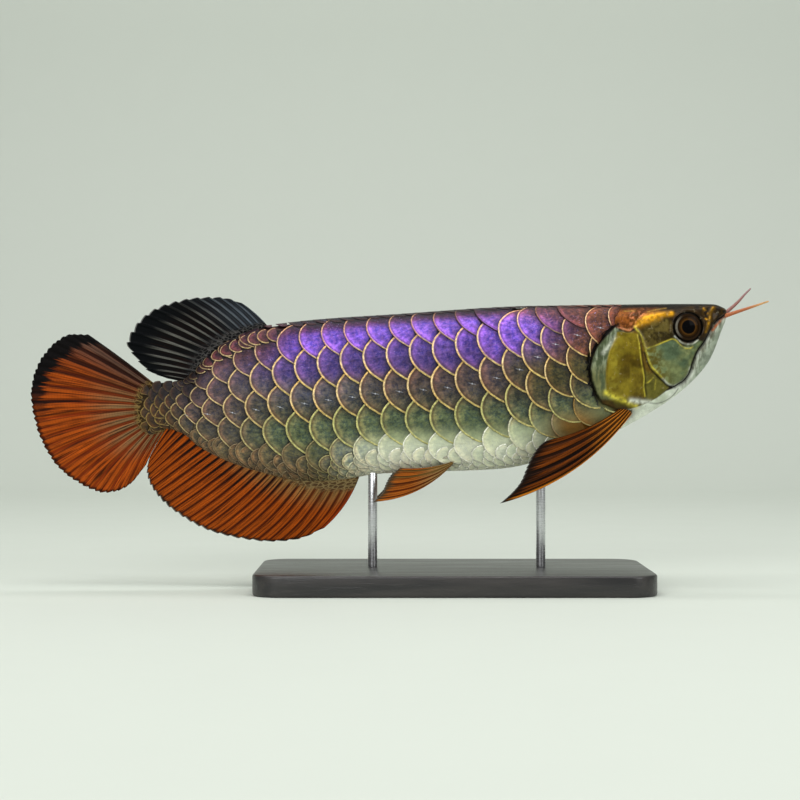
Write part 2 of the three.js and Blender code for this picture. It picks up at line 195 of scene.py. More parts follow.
def surfaceTable():
    backs = np.linspace(0, math.sqrt(body["length"]), tableSize["stations"]) ** 2
    turns = np.linspace(0, math.pi, tableSize["fineTurns"])
    shares = np.linspace(0, 1, tableSize["turns"])
    points = np.zeros((len(backs), len(shares), 3))
    girths = np.zeros(len(backs))
    for i, back in enumerate(backs):
        top, bottom = topAt(back), bottomAt(back)
        belt = top - widestAt(back) * (top - bottom)
        isUpper = np.cos(turns) >= 0
        power = 2 / np.where(isUpper, upperAt(back), lowerAt(back))
        y = widthAt(back) * np.abs(np.sin(turns)) ** power
        reach = np.where(isUpper, top - belt, bottom - belt)
        z = belt + reach * np.abs(np.cos(turns)) ** power
        arc = np.concatenate([[0], np.cumsum(np.hypot(np.diff(y), np.diff(z)))])
        girths[i] = arc[-1]
        points[i, :, 0] = -back
        points[i, :, 1] = np.interp(shares * arc[-1], arc, y)
        points[i, :, 2] = np.interp(shares * arc[-1], arc, z)
    lengthwise = np.gradient(points, axis=0)
    around = np.gradient(points, axis=1)
    normals = np.cross(lengthwise, around)
    normals[:, [0, -1], 1] = 0
    normals /= np.linalg.norm(normals, axis=-1, keepdims=True) + 1e-12
    if normals[len(backs) // 2, len(shares) // 2, 1] < 0:
        normals = -normals
    return np.concatenate([points, normals], -1), backs, girths


table, tableBacks, tableGirths = surfaceTable()


# The body's point and normal, in mm, on its left side. A share below 0 or above 1 runs on to the other side.
def bodyAt(back, share):
    back, share = np.broadcast_arrays(np.asarray(back, float), np.asarray(share, float))
    flip = np.where((share < 0) | (share > 1), -1.0, 1.0)
    folded = np.abs(share)
    folded = np.where(folded > 1, 2 - folded, folded)
    row = np.sqrt(np.clip(back, 0, body["length"])) / math.sqrt(body["length"]) * (len(tableBacks) - 1)
    column = np.clip(folded, 0, 1) * (tableSize["turns"] - 1)
    i = np.clip(row.astype(int), 0, len(tableBacks) - 2)
    j = np.clip(column.astype(int), 0, tableSize["turns"] - 2)
    u, v = (row - i)[..., None], (column - j)[..., None]
    read = (table[i, j] * (1 - u) * (1 - v) + table[i + 1, j] * u * (1 - v)
            + table[i, j + 1] * (1 - u) * v + table[i + 1, j + 1] * u * v)
    read[..., 1] *= flip
    read[..., 4] *= flip
    return read[..., :3], read[..., 3:]


def girthAt(back):
    return np.interp(back, tableBacks, tableGirths)


# Half the body's breadth, in mm, at a place on its flank
def flankY(back, height):
    top, bottom = topAt(back), bottomAt(back)
    belt = top - widestAt(back) * (top - bottom)
    power = np.where(height > belt, upperAt(back), lowerAt(back))
    share = np.clip(np.abs(height - belt) / np.where(height > belt, top - belt, belt - bottom), 0, 1)
    return widthAt(back) * (1 - share ** power) ** (1 / power)


# Where a place in the photograph lies if it is this far out from the middle plane
def trueSize(places, out):
    share = 1 - np.asarray(out) / camera["distance"]
    backs = camera["back"] + (places[..., 0] - camera["back"]) * share
    return np.stack([backs, places[..., 1] * share], -1)


def toWorld(points):
    return points * mm + np.array([snoutX, 0, axisZ])


# Shader nodes as expressions: a wire holds a socket, and sums and products of wires add Math nodes

class Wire:
    def __init__(self, tree, socket=None):
        self.tree = tree
        self.socket = socket

    def node(self, kind, settings, sockets, output=0):
        made = self.tree.nodes.new("ShaderNode" + kind)
        for name, value in settings.items():
            setattr(made, name, value)
        for name, value in sockets.items():
            if isinstance(value, Wire):
                self.tree.links.new(value.socket, made.inputs[name])
            else:
                made.inputs[name].default_value = value
        return Wire(self.tree, made.outputs[output] if made.outputs else None)

    def math(self, operation, first, second=0.0):
        return self.node("Math", {"operation": operation}, {0: first, 1: second})

    def __add__(self, other):
        return self.math("ADD", self, other)

    def __sub__(self, other):
        return self.math("SUBTRACT", self, other)

    def __mul__(self, other):
        return self.math("MULTIPLY", self, other)

    def __radd__(self, other):
        return self.math("ADD", other, self)

    def __rsub__(self, other):
        return self.math("SUBTRACT", other, self)

    def __rmul__(self, other):
        return self.math("MULTIPLY", other, self)

    def ramp(self, start, end, low=0.0, high=1.0):
        settings = {"interpolation_type": "SMOOTHSTEP"}
        return self.node("MapRange", settings, {0: self, 1: start, 2: end, 3: low, 4: high})

    def mix(self, first, second, share, blend="MIX"):
        settings = {"data_type": "RGBA", "blend_type": blend, "clamp_factor": True}
        first, second = (c if isinstance(c, Wire) else (*c, 1) for c in (first, second))
        return self.node("Mix", settings, {0: share, 6: first, 7: second}, 2)

    def times(self, first, second):
        return self.mix(first, second, 1.0, "MULTIPLY")

    def gray(self, value):
        return self.node("CombineColor", {}, {0: value, 1: value, 2: value})

    def vector(self, x, y, z):
        return self.node("CombineXYZ", {}, {0: x, 1: y, 2: z})

    def attribute(self, name, output="Fac"):
        return self.node("Attribute", {"attribute_name": name}, {}, output)

    def noise(self, scale, detail=3.0, where=None, rough=0.5):
        where = where or self.node("TexCoord", {}, {}, "Object")
        sockets = {"Vector": where, "Scale": scale, "Detail": detail, "Roughness": rough}
        return self.node("TexNoise", {}, sockets, "Fac")

    def bumped(self, height, distance, strength=1.0):
        return self.node("Bump", {}, {"Height": height, "Distance": distance, "Strength": strength})


def newMaterial(name):
    material = bpy.data.materials.new(name)
    material.use_nodes = True
    material.node_tree.nodes.clear()
    return material, Wire(material.node_tree)


def finish(material, wire, sockets):
    surface = wire.node("BsdfPrincipled", {}, sockets)
    wire.node("OutputMaterial", {}, {"Surface": surface})
    return material


# Pieces: a grid primitive whose vertices a function puts in place, with its seams and poles closed

def select(obj):
    bpy.ops.object.select_all(action="DESELECT")
    obj.select_set(True)
    bpy.context.view_layer.objects.active = obj


def writePoints(mesh, points):
    mesh.vertices.foreach_set("co", np.asarray(points, np.float32).ravel())
    mesh.update()


def writeValues(mesh, name, values):
    layer = mesh.attributes.new(name, "FLOAT", "POINT")
    layer.data.foreach_set("value", np.asarray(values, np.float32).ravel())


def writeColours(mesh, name, colours):
    layer = mesh.attributes.new(name, "FLOAT_COLOR", "POINT")
    full = np.concatenate([colours, np.ones((len(colours), 1))], -1)
    layer.data.foreach_set("color", np.asarray(full, np.float32).ravel())


def gridPiece(name, across, lengthwise, shape):
    bpy.ops.object.select_all(action="DESELECT")
    bpy.ops.mesh.primitive_grid_add(x_subdivisions=across, y_subdivisions=lengthwise, size=2, calc_uvs=True)
    obj = bpy.context.object
    obj.name = obj.data.name = name
    mesh = obj.data
    mesh.uv_layers[0].name = "OFBake"
    flat = np.zeros(len(mesh.vertices) * 3, np.float32)
    mesh.vertices.foreach_get("co", flat)
    flat = flat.reshape(-1, 3).astype(float)
    points, values, colours = shape((flat[:, 0] + 1) / 2, (flat[:, 1] + 1) / 2)
    writePoints(mesh, points)
    for key, value in values.items():
        writeValues(mesh, key, value)
    for key, value in colours.items():
        writeColours(mesh, key, value)
    bpy.ops.object.mode_set(mode="EDIT")
    bpy.ops.mesh.select_all(action="SELECT")
    bpy.ops.mesh.remove_doubles(threshold=weldDistance)
    bpy.ops.mesh.normals_make_consistent(inside=False)
    bpy.ops.object.mode_set(mode="OBJECT")
    bpy.ops.object.shade_smooth()
    return obj


# Goes into edit mode with those edges selected whose two ends pass the test
def selectEdges(obj, test):
    bpy.ops.object.mode_set(mode="EDIT")
    bpy.ops.mesh.select_mode(type="EDGE")
    bpy.ops.mesh.select_all(action="DESELECT")
    bpy.ops.object.mode_set(mode="OBJECT")
    for edge in obj.data.edges:
        edge.select = test(*(obj.data.vertices[i].co for i in edge.vertices))
    bpy.ops.object.mode_set(mode="EDIT")


def bevelEdges(obj, width, segments, sharper):
    bevel = obj.modifiers.new("edge", "BEVEL")
    bevel.width = width
    bevel.segments = segments
    bevel.angle_limit = math.radians(sharper)
    bpy.ops.object.modifier_apply(modifier="edge")


def finishPiece(obj, material, nodes):
    obj.data.materials.clear()
    obj.data.materials.append(material)
    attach(obj, "root")
    if nodes:
        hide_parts(*nodes)
    print("made", obj.name, len(obj.data.polygons), "faces")


# The colours of skin and scales, from soft masks over back and over the share from ridge to keel

bodyColours = {
    "ridge": rgb(30, 22, 30), "plum": rgb(84, 44, 78), "maroon": rgb(92, 54, 58),
    "violet": rgb(142, 98, 204), "indigo": rgb(84, 64, 118), "slate": rgb(93, 79, 73),
    "teal": rgb(88, 88, 68), "sage": rgb(108, 120, 84), "pale": rgb(186, 196, 158),
    "belly": rgb(232, 238, 208), "copper": rgb(116, 68, 40), "olive": rgb(84, 78, 46),
    "tail": rgb(94, 80, 74), "tailBelly": rgb(128, 112, 80), "amber": rgb(132, 88, 24),
    "finFoot": rgb(14, 11, 10), "stalk": rgb(76, 58, 32), "rose": rgb(128, 74, 92),
    "rear": rgb(108, 112, 102), "finRootShadowAndTone": rgb(60, 40, 20),
}
rimColours = {
    "upper": rgb(214, 158, 118), "middle": rgb(232, 188, 108), "lower": rgb(206, 200, 128),
    "belly": rgb(252, 252, 238), "tail": rgb(204, 180, 132), "tailBelly": rgb(144, 126, 96),
    "ridge": rgb(58, 36, 40), "stalk": rgb(150, 124, 70), "amber": rgb(160, 112, 46),
    "rimHighlight": rgb(252, 228, 178), "nape": rgb(140, 84, 60), "dim": rgb(60, 52, 40),
    "finRootShadowAndTone": rgb(60, 40, 20),
}


def folded(share):
    share = np.abs(share)
    return np.where(share > 1, 2 - share, share)


# The warm patch behind the foot of the pectoral fin
def finWarmth(back, share):
    return bump(back, 65, 11) * bump(bodyAt(back, share)[0][..., 2], -9.5, 6)


# The dark patches round the roots of the paired fins: painted shadow under the gill cover's foot at the
# pectoral fin, a darker tone where the pelvic fin meets the belly
def finRootShadowAndTone(back, height):
    front = bump(back, 44.5, 4.2) * bump(height, -5.6, 2.8)
    return np.maximum(front, 0.5 * bump(back, 121, 8) * bump(height, -27.2, 1.8))


def bodyPaint(back, share):
    share = folded(share)
    ahead = 0.1 * fade(back, 76, 112)
    middle = within(back, 68, 98, 144, 180)
    reach = 0.085 + 0.05 * within(back, 60, 84, 92, 140)
    violet = bump(share, 0.18, reach) * within(back, 54, 92, 176, 210) * smooth(share, 0.1, 0.155)
    foot = fade(share, 0, 0.07) + smooth(back, 222, 230) * fade(share, 0.3, 0.56)
    root = finRootShadowAndTone(back, bodyAt(back, share)[0][..., 2])
    return paintLayers(bodyColours, "ridge", [
        ("plum", smooth(share, 0.05, 0.12)),
        ("indigo", smooth(share, 0.14, 0.24)),
        ("slate", smooth(share, 0.33 - ahead, 0.42 - ahead) * (1 - 0.45 * smooth(back, 150, 180))),
        ("rear", 0.5 * within(back, 138, 165, 200, 225) * smooth(share, 0.34, 0.42)),
        ("teal", smooth(share, 0.46, 0.56)),
        ("sage", smooth(share, 0.56, 0.66)),
        ("pale", smooth(share, 0.67, 0.76) * middle),
        ("belly", smooth(share, 0.74, 0.84) * middle),
        ("violet", np.clip(violet, 0, 1)),
        ("rose", 0.85 * fade(back, 76, 112) * within(share, 0.06, 0.11, 0.13, 0.2)),
        ("olive", fade(back, 76, 110) * within(share, 0.32, 0.42, 0.5, 0.64)),
        ("copper", 0.92 * fade(back, 58, 90) * fade(share, 0.28, 0.46)),
        ("tail", 0.85 * smooth(back, 182, 220)),
        ("tailBelly", 0.9 * smooth(back, 158, 190) * smooth(share, 0.7, 0.88)),
        ("stalk", smooth(back, 230, 244)),
        ("maroon", within(back, 186, 200, 222, 234) * fade(share, 0.16, 0.3)),
        ("finFoot", 0.9 * within(back, 197, 204, 246, 253) * np.clip(foot, 0, 1)),
        ("amber", np.clip(finWarmth(back, share), 0, 0.85)),
        ("finRootShadowAndTone", np.clip(1.3 * root, 0, 0.95)),
    ])


def rimPaint(back, share, over):
    share = folded(share)
    # Painted highlight: a pale cream patch on each rim's rearmost point, in the upper and middle rows
    rimHighlightMask = bump(over, -0.05, 0.4) * within(share, 0.1, 0.2, 0.5, 0.66)
    root = finRootShadowAndTone(back, bodyAt(back, share)[0][..., 2])
    ridge = np.maximum(fade(share, 0.07, 0.15) * fade(back, 190, 204), fade(share, 0.03, 0.07))
    return paintLayers(rimColours, "upper", [
        ("middle", smooth(share, 0.18, 0.34)),
        ("rimHighlight", 0.6 * rimHighlightMask * fade(back, 190, 220)),
        ("lower", smooth(share, 0.5, 0.62)),
        ("belly", smooth(share, 0.68, 0.82) * fade(back, 145, 175)),
        ("lower", 0.5 * smooth(over, 0.3, 0.9) * fade(share, 0.5, 0.6)),
        ("tail", 0.8 * smooth(back, 182, 220)),
        ("tailBelly", smooth(back, 158, 190) * smooth(share, 0.7, 0.8)),
        ("stalk", smooth(back, 232, 246)),
        ("amber", np.clip(finWarmth(back, share) * 1.9, 0, 0.9)),
        ("nape", fade(back, 44, 54) * fade(share, 0.3, 0.4)),
        ("finRootShadowAndTone", np.clip(1.3 * root, 0, 1)),
        ("dim", 0.9 * within(back, 222, 232, 248, 254) * fade(share, 0.3, 0.5)),
        ("ridge", ridge),
    ])


# The head: raised plates, ridges and grooves, and the markings on them. Places are read off the photograph.

head = {
    "eye": [16.4, 31.5],
    "socket": 6.45,
    "socketDepth": 1.7,
    "gillCover": [[40.6, 30], [43.5, 30.8], [47.9, 31.4], [52.2, 27.2], [55.7, 22.9], [57.8, 18.1],
        [58.5, 13.4], [57.8, 8.2], [55.9, 2.8], [53.5, -1.7], [48.3, -3.8], [41.4, -4.2], [35.5, -2.2],
        [30, 0.6], [24.5, 5.6], [28.5, 8.6], [31.5, 12.9], [34.1, 18.6], [36.7, 25.3], [38.6, 29.6]],
    "gillPlate": [[47.1, 29.4], [48.6, 25.5], [50.5, 21.3], [51.5, 17.1], [52.1, 12.8], [52.1, 8.2],
        [51.7, 3.5], [48.6, 1.6], [45.5, 0.5], [40.6, 0], [35.1, 0.4], [34.7, 2], [35.4, 5.9],
        [35.2, 9.7], [36, 14.3], [36.7, 19], [37.3, 24.3], [38.2, 28.5], [41.7, 29.4]],
    "cheek": [[20.5, 7], [22.4, 6.3], [25.1, 7], [27.4, 9.3], [29.7, 11.7], [32, 14.3], [33.4, 17.1],
        [34.6, 21.8], [31.3, 23.2], [27.8, 24.6], [23.2, 26.3], [21.8, 25.9], [19.3, 23.6], [15, 24],
        [12.4, 25.9], [9, 25], [11.6, 21.7], [14.1, 15.9], [16.2, 10.5]],
    "upperCheek": [[34.6, 21.8], [35.8, 25], [37.3, 28.6], [39, 31.2], [35, 34], [26, 36], [23.5, 34],
        [23, 29], [22.2, 26.8], [27.8, 24.6], [31.3, 23.2]],
    "jaw": [[-3, 39], [-1.3, 38], [1.2, 35.6], [3.5, 33.9], [5.2, 32.2], [6.5, 30.1], [7.6, 27.8],
        [9.3, 24.7], [11.6, 21.7], [12.9, 19], [14.1, 15.9], [15.1, 12.8], [16.2, 10.5], [18.1, 8.2],
        [19.7, 7.2], [22, 5.3], [26, 3.8], [30, 0.8], [35.5, -1.8], [41.4, -3.8], [48, -4.2], [62, -16],
        [64, -30], [-3, -30]],
    "neck": [[20, 12], [20, 45], [43, 45], [43, 34]],
    "napeFoot": [[23.6, 38.2], [35.5, 36], [39, 32.4], [41.7, 30.4], [44, 30.8], [47.5, 32.5], [62, 28],
        [62, 60], [23.6, 60]],
}

# Lines on the head: where each runs, its colour, half its breadth and its strength, and how far it stands up
headLines = {
    "crown": ([[34, 38], [30.5, 38.8], [25.9, 39.6]], "paleGold", 0.3, 0.55, 0.12),
    "nape": ([[44, 38.3], [39, 38.4]], "paleGold", 0.3, 0.5, 0.12),
    "napeEdge": ([[47.5, 31.9], [44, 30.4], [41.7, 30], [39.7, 31.5]], "copperLight", 0.5, 0.85, 0.2),
    "goldTail": ([[35.1, 34.7], [37.4, 32.8], [39.5, 31.5]], "paleGold", 0.6, 0.9, 0.2),
    "goldStreak": ([[35.1, 35.1], [33.2, 35.6], [31.3, 35.9], [27.4, 36.9], [23.6, 37.3]], "gold", 1.0,
        1.0, 0.3),
    "goldPatch": ([[37.6, 33.2], [35.2, 34.2], [32.6, 35.2], [30, 35.9]], "gold", 1.8, 0.7, 0.2),
    "cheekSplit": ([[34.7, 22.2], [31.3, 23.2], [27.8, 24.6], [25.1, 25.7], [23.2, 26.3], [21.8, 25.9],
        [20.5, 24.7], [19.3, 23.6], [17.8, 22.4], [15.8, 22.2], [14.5, 23]], "yellow", 0.3, 0.8, 0.14),
    "underEye": ([[22.2, 27.5], [20.8, 26.1], [19.1, 24.7], [16.6, 24], [14.3, 24.3], [12.4, 25.9]],
        "silver", 0.38, 0.8, 0.2),
    "gillFront": ([[38.2, 28.1], [37.6, 24.3], [37, 19], [36.3, 14.3], [35.5, 9.7], [35.7, 5.9],
        [35.1, 1.7]], "yellow", 0.3, 0.85, 0.16),
    "ridgeletA": ([[35.5, 7.2], [33.6, 7.8], [31.6, 9.7]], "yellow", 0.32, 0.6, 0.14),
    "ridgeletB": ([[30.5, 8.8], [30.9, 4.7]], "yellow", 0.3, 0.4, 0.1),
    "snoutRidge": ([[5.6, 39.8], [6.8, 37.5], [7.2, 34.7], [7.9, 31.7], [8.7, 29.4]], "darkGold", 0.6,
        0.8, 0.25),
    "lip": ([[0, 36], [1.6, 35.3], [3.2, 33.4], [4.8, 31.6], [5.8, 30.1]], "lip", 0.55, 0.9, 0.15),
    "gillFoot": ([[52.1, 3.2], [48.6, 1.6], [45.5, 0.5], [42.8, -0.7], [39, -2.6]], "brightYellow", 1.2,
        0.85, 0.1),
    # Painted highlight: a white streak of light on the silver skin under the gill plate
    "whiteHighlight": ([[41.4, 0.1], [37.1, -0.6], [32.4, -1.1]], "white", 1.1, 0.75, 0.1),
    # Partly the jaw's own silver band and partly a painted highlight along it
    "jawShine": ([[24.4, 2.2], [20.9, 4.6], [17.5, 7.6], [14.6, 12]], "white", 0.8, 0.7, 0.1),
    # Painted highlight: a silver streak along the gill membrane's upper rear edge
    "membrane": ([[48.1, 27.2], [50.5, 23.3], [53.1, 20.3]], "silver", 0.9, 0.7, 0.1),
    "cheekRidge": ([[39.5, 31.3], [37.8, 29.4], [36.5, 27.1], [35.5, 24.3], [34.4, 20.5], [33.4, 17.1],
        [32, 14.3], [29.7, 11.7], [27.4, 9.3]], "yellow", 0.42, 0.9, 0.3),
    "cheekFoot": ([[27.4, 9.3], [25.1, 7], [22.4, 6.3], [20.5, 7], [18.2, 8.5], [16.6, 10.9],
        [15.5, 14.3]], "silver", 0.42, 0.9, 0.3),
    "nostrilA": ([[9.7, 39.5], [9.2, 38.7]], "darkGold", 0.5, 0.9, 0.3),
    "nostrilB": ([[7.9, 37.5], [8.0, 37.1]], "gold", 0.3, 0.8, 0.2),
    "nostrilC": ([[8.9, 35.1], [8.3, 34.7]], "gold", 0.35, 0.7, 0.25),
}

# Grooves: where each runs, half its breadth, how dark its crease is painted as shade and how deep
headGrooves = {
    "mouth": ([[-1.3, 38], [1.2, 35.9], [3.5, 34.2], [5.2, 32.2], [6.5, 30.1], [7.6, 27.8], [9.3, 24.7],
        [11.6, 21.7], [12.9, 19], [14.1, 15.9], [15.1, 12.8], [16.2, 10.5], [18.1, 8.2], [19.7, 7.1],
        [22, 5.6]], 0.7, 1.0, 0.85),
    "underRidge": ([[22, 5.4], [25.1, 6], [27.4, 8.3], [29.8, 10.4], [32.4, 13.2], [34, 16.5],
        [35.3, 20.5]], 0.4, 0.9, 0.4),
    "underEye": ([[21.5, 26.6], [19.6, 24.2], [17.5, 23.2], [15.2, 23.3]], 0.25, 0.8, 0.15),
    "behindFront": ([[36.8, 24], [36, 17.5], [35, 11.5], [34.9, 6.5], [34.5, 2.5]], 0.35, 0.75, 0.2),
    "jawLine": ([[20.8, 4.7], [22.8, 2], [25.9, -0.3], [29.4, -1.5], [32.8, -1.3]], 0.22, 0.65, 0.2),
    "napeFoot": ([[47.2, 31.1], [44, 29.6], [41.7, 29.2], [39.6, 30.5]], 0.3, 0.8, 0.25),
    "nostril": ([[8.9, 38], [8.4, 36.2]], 0.4, 0.9, 0.3),
    "napeFold": ([[36, 37.6], [39, 34.6], [40.6, 31.5]], 0.25, 0.5, 0.12),
}
headColours = {
    "crown": rgb(28, 20, 10), "snout": rgb(62, 44, 8), "nape": rgb(94, 50, 22),
    "napeWarm": rgb(140, 80, 28), "gillPlate": rgb(124, 108, 26), "gillDark": rgb(82, 66, 10),
    "preopercle": rgb(94, 72, 18), "preopercleGreen": rgb(96, 90, 34), "membrane": rgb(146, 156, 130),
    "membraneDark": rgb(76, 86, 60), "membraneLow": rgb(98, 96, 44), "cheek": rgb(112, 120, 78),
    "cheekBlue": rgb(80, 96, 70), "cheekYellow": rgb(102, 92, 36), "upperCheek": rgb(92, 80, 36),
    "upperCheekDark": rgb(46, 38, 12), "jaw": rgb(206, 212, 196), "jawFront": rgb(112, 122, 104),
    "jawGrey": rgb(150, 160, 142), "jawInner": rgb(112, 112, 94), "throat": rgb(232, 236, 222),
    "throatGreen": rgb(190, 198, 176), "gold": rgb(224, 160, 30), "darkGold": rgb(170, 124, 24),
    "paleGold": rgb(190, 150, 62), "yellow": rgb(196, 182, 62), "brightYellow": rgb(220, 205, 70),
    "silver": rgb(206, 210, 192), "white": rgb(236, 240, 230), "lip": rgb(172, 82, 22),
    "copperLight": rgb(184, 112, 74), "dark": rgb(12, 9, 6), "brown": rgb(56, 38, 10),
    "olive": rgb(66, 62, 14), "orbit": rgb(26, 18, 10),
}


# Where a place on the flank appears in the photograph's picture plane
def seenPlace(points):
    share = 1 - np.abs(points[..., 1]) / camera["distance"]
    return camera["back"] + (-points[..., 0] - camera["back"]) / share, points[..., 2] / share


# How far bare skin reaches: above 0 on the head, below 0 where scales lie
def bareSkin(back, height):
    outline = head["gillCover"] + head["neck"]
    nape = 43.5 + 3 * bump(height, 34, 4) - back
    wedge = np.minimum(61 - back, -6.5 - 0.62 * (back - 42) - height)
    bare = np.maximum(insideDistance(outline, back, height), 40.5 - back)
    return np.maximum(np.maximum(bare, wedge), np.where(height > 29, nape, -9))


def headRelief(back, height, sideways):
    h = head
    cover, plate, jaw = (insideDistance(h[name], back, height) for name in ("gillCover", "gillPlate", "jaw"))
    lift = 0.3 * smooth(cover, -0.2, 0.9) + 0.25 * smooth(plate, -0.3, 0.7)
    lift += 0.25 * bump(jaw, 0.9, 0.5) * (back < 20)
    for line, _, reach, _, rise in headLines.values():
        lift += rise * bump(lineDistance(rounded(line), back, height), 0, reach * 1.3)
    for line, reach, _, depth in headGrooves.values():
        lift -= depth * bump(lineDistance(rounded(line), back, height), 0, reach * 1.1)
    toEye = np.hypot(back - h["eye"][0], height - h["eye"][1])
    lift += 0.3 * bump(toEye, h["socket"] + 0.75, 0.5)
    lift -= h["socketDepth"] * fade(toEye, h["socket"] - 0.7, h["socket"] + 0.1)
    lift += 0.16 * (cloud(back, height, 2.2, 3) - 0.5) * smooth(toEye, 7, 8)
    lift += 0.14 * (cloud(back * 0.6, height * 1.6, 1.1, 4) - 0.5) * smooth(plate, 0, 1)
    return lift * sideways


def headPaint(colours, back, height, girthShare):
    h, c = head, headColours
    broad = cloud(back, height, 5, 11)
    fine = cloud(back, height, 1.3, 12)
    streaks = cloud(back * 2.6, height * 0.45, 2, 13)
    creases = bump(np.abs(cloud(back, height * 1.4, 2.6, 14) - 0.5), 0, 0.03)
    cover, plate, upperCheek, cheek, jaw, nape = (
        insideDistance(h[name], back, height)
        for name in ("gillCover", "gillPlate", "upperCheek", "cheek", "jaw", "napeFoot"))
    toEye = np.hypot(back - h["eye"][0], height - h["eye"][1])
    onNape = smooth(nape, -0.4, 0.8) * smooth(back, 25, 36)
    onMembrane = smooth(cover, -0.2, 0.3) * smooth(back, 42, 47)
    onFoot = smooth(cover, -0.2, 0.5) * fade(height, -0.5, 1.2) * smooth(back, 38, 43)
    onCheek, onJaw = smooth(cheek, -0.4, 0.5), smooth(jaw, -0.25, 0.25)
    skin = c["crown"]
    # Each layer has two colours, the mask that lays them on and the noise that divides them
    for first, second, mask, share in [
            ("snout", "crown", fade(back, 14, 26), fine),
            ("nape", "napeWarm", onNape, 0.6 * broad + 0.4 * fine),
            ("copperLight", "nape", 0.7 * onNape * smooth(fine, 0.55, 0.7), broad),
            ("brown", "dark", 0.75 * onNape * creases, broad),
            ("crown", "snout", 0.9 * fade(girthShare, 0.1, 0.14), 0.6 * fine),
            ("preopercle", "preopercleGreen", smooth(cover, -0.4, 0.3), 1 - height / 18 + 0.3 * fine),
            ("membrane", "membraneDark", onMembrane, streaks),
            ("membraneLow", "membraneDark", 0.8 * onMembrane * fade(height, 10, 20), streaks),
            ("olive", "brown", onFoot, broad),
            ("gillPlate", "gillDark", smooth(plate, -0.4, 0.5), 0.7 * broad + 0.15 * fine + 0.15 * streaks),
            ("yellow", "gillPlate", 0.3 * smooth(plate, 0, 2) * bump(back, 48.5, 3), fine),
            ("upperCheek", "upperCheekDark", smooth(upperCheek, -0.6, 0.5), 0.5 * broad + 0.5 * fine),
            ("cheek", "cheekBlue", onCheek, broad),
            ("cheekYellow", "cheek", onCheek * smooth(back - 0.35 * height, 18, 25), fine),
            ("jaw", "throatGreen", onJaw, broad),
            ("jawFront", "jawGrey", 0.9 * onJaw * fade(back, 12, 22), 0.5 * streaks + 0.5 * fine),
            ("jawInner", "jaw", bump(jaw, 1.0, 1.1) * fade(back, 17, 21), streaks),
            ("throat", "throatGreen", smooth(jaw, 1.5, 4.5) * smooth(back, 11, 23), broad),
            ("orbit", "brown", 0.55 * bump(toEye, 7.2, 1.3) * smooth(height, 24, 30), fine)]:
        skin = paint(skin, paint(c[first], c[second], smooth(share, 0.36, 0.64)), mask)
    for line, colour, reach, strength, _ in headLines.values():
        distance = lineDistance(rounded(line), back, height) + 0.5 * reach * (fine - 0.5)
        broken = strength * (0.4 + 0.6 * smooth(broad + fine, 0.75, 1.15))
        skin = paint(skin, c[colour], broken * bump(distance, 0, reach))
    # Painted shade: each groove's crease is darkened
    for line, reach, dark, _ in headGrooves.values():
        skin = paint(skin, c["dark"], dark * bump(lineDistance(rounded(line), back, height), 0, reach))
    # Painted shade: a dark ring round the eye socket's edge
    skin = paint(skin, c["dark"], fade(toEye, h["socket"] - 0.1, h["socket"] + 0.55))
    # Painted shadow along the gill cover's rear edge
    skin = paint(skin, c["dark"], 0.7 * bump(cover, 0.1, 0.45) * smooth(back, 46, 50))
    mottled = smooth(fine, 0.36, 0.64) + smooth(cloud(back, height, 3, 15), 0.38, 0.62) - 1
    skin = skin * (1 + (0.26 - 0.14 * smooth(jaw, 0, 1)) * mottled)[..., None]
    skin = skin * (0.3 + 0.7 * smooth(girthShare, 0.07, 0.2))[..., None]  # the crown is nearly black
    bare = bareSkin(back, height) + 1.6 * smooth(height, 28, 31)
    colours = paint(colours, skin, smooth(bare, -0.3, 0.1))
    # Painted shadow in the groove just behind the gill cover
    edge = within(cover, -2.3, -1.3, -0.15, 0.15) * smooth(back, 45, 48)
    return paint(colours, c["dark"], edge * smooth(height, -3, 2))


skinGrid = {"around": 384, "snoutRows": 26, "snoutEnd": 6, "headRows": 172, "headEnd": 63, "bodyRows": 56}


# The skin's rows lie closer together on the head
def skinRows(lengthwise):
    g = skinGrid
    snout = np.linspace(0, math.sqrt(g["snoutEnd"]), g["snoutRows"], endpoint=False) ** 2
    middle = np.linspace(g["snoutEnd"], g["headEnd"], g["headRows"], endpoint=False)
    rows = np.concatenate([snout, middle, np.linspace(g["headEnd"], body["length"], g["bodyRows"] + 1)])
    return rows[np.round(lengthwise * (len(rows) - 1)).astype(int)]


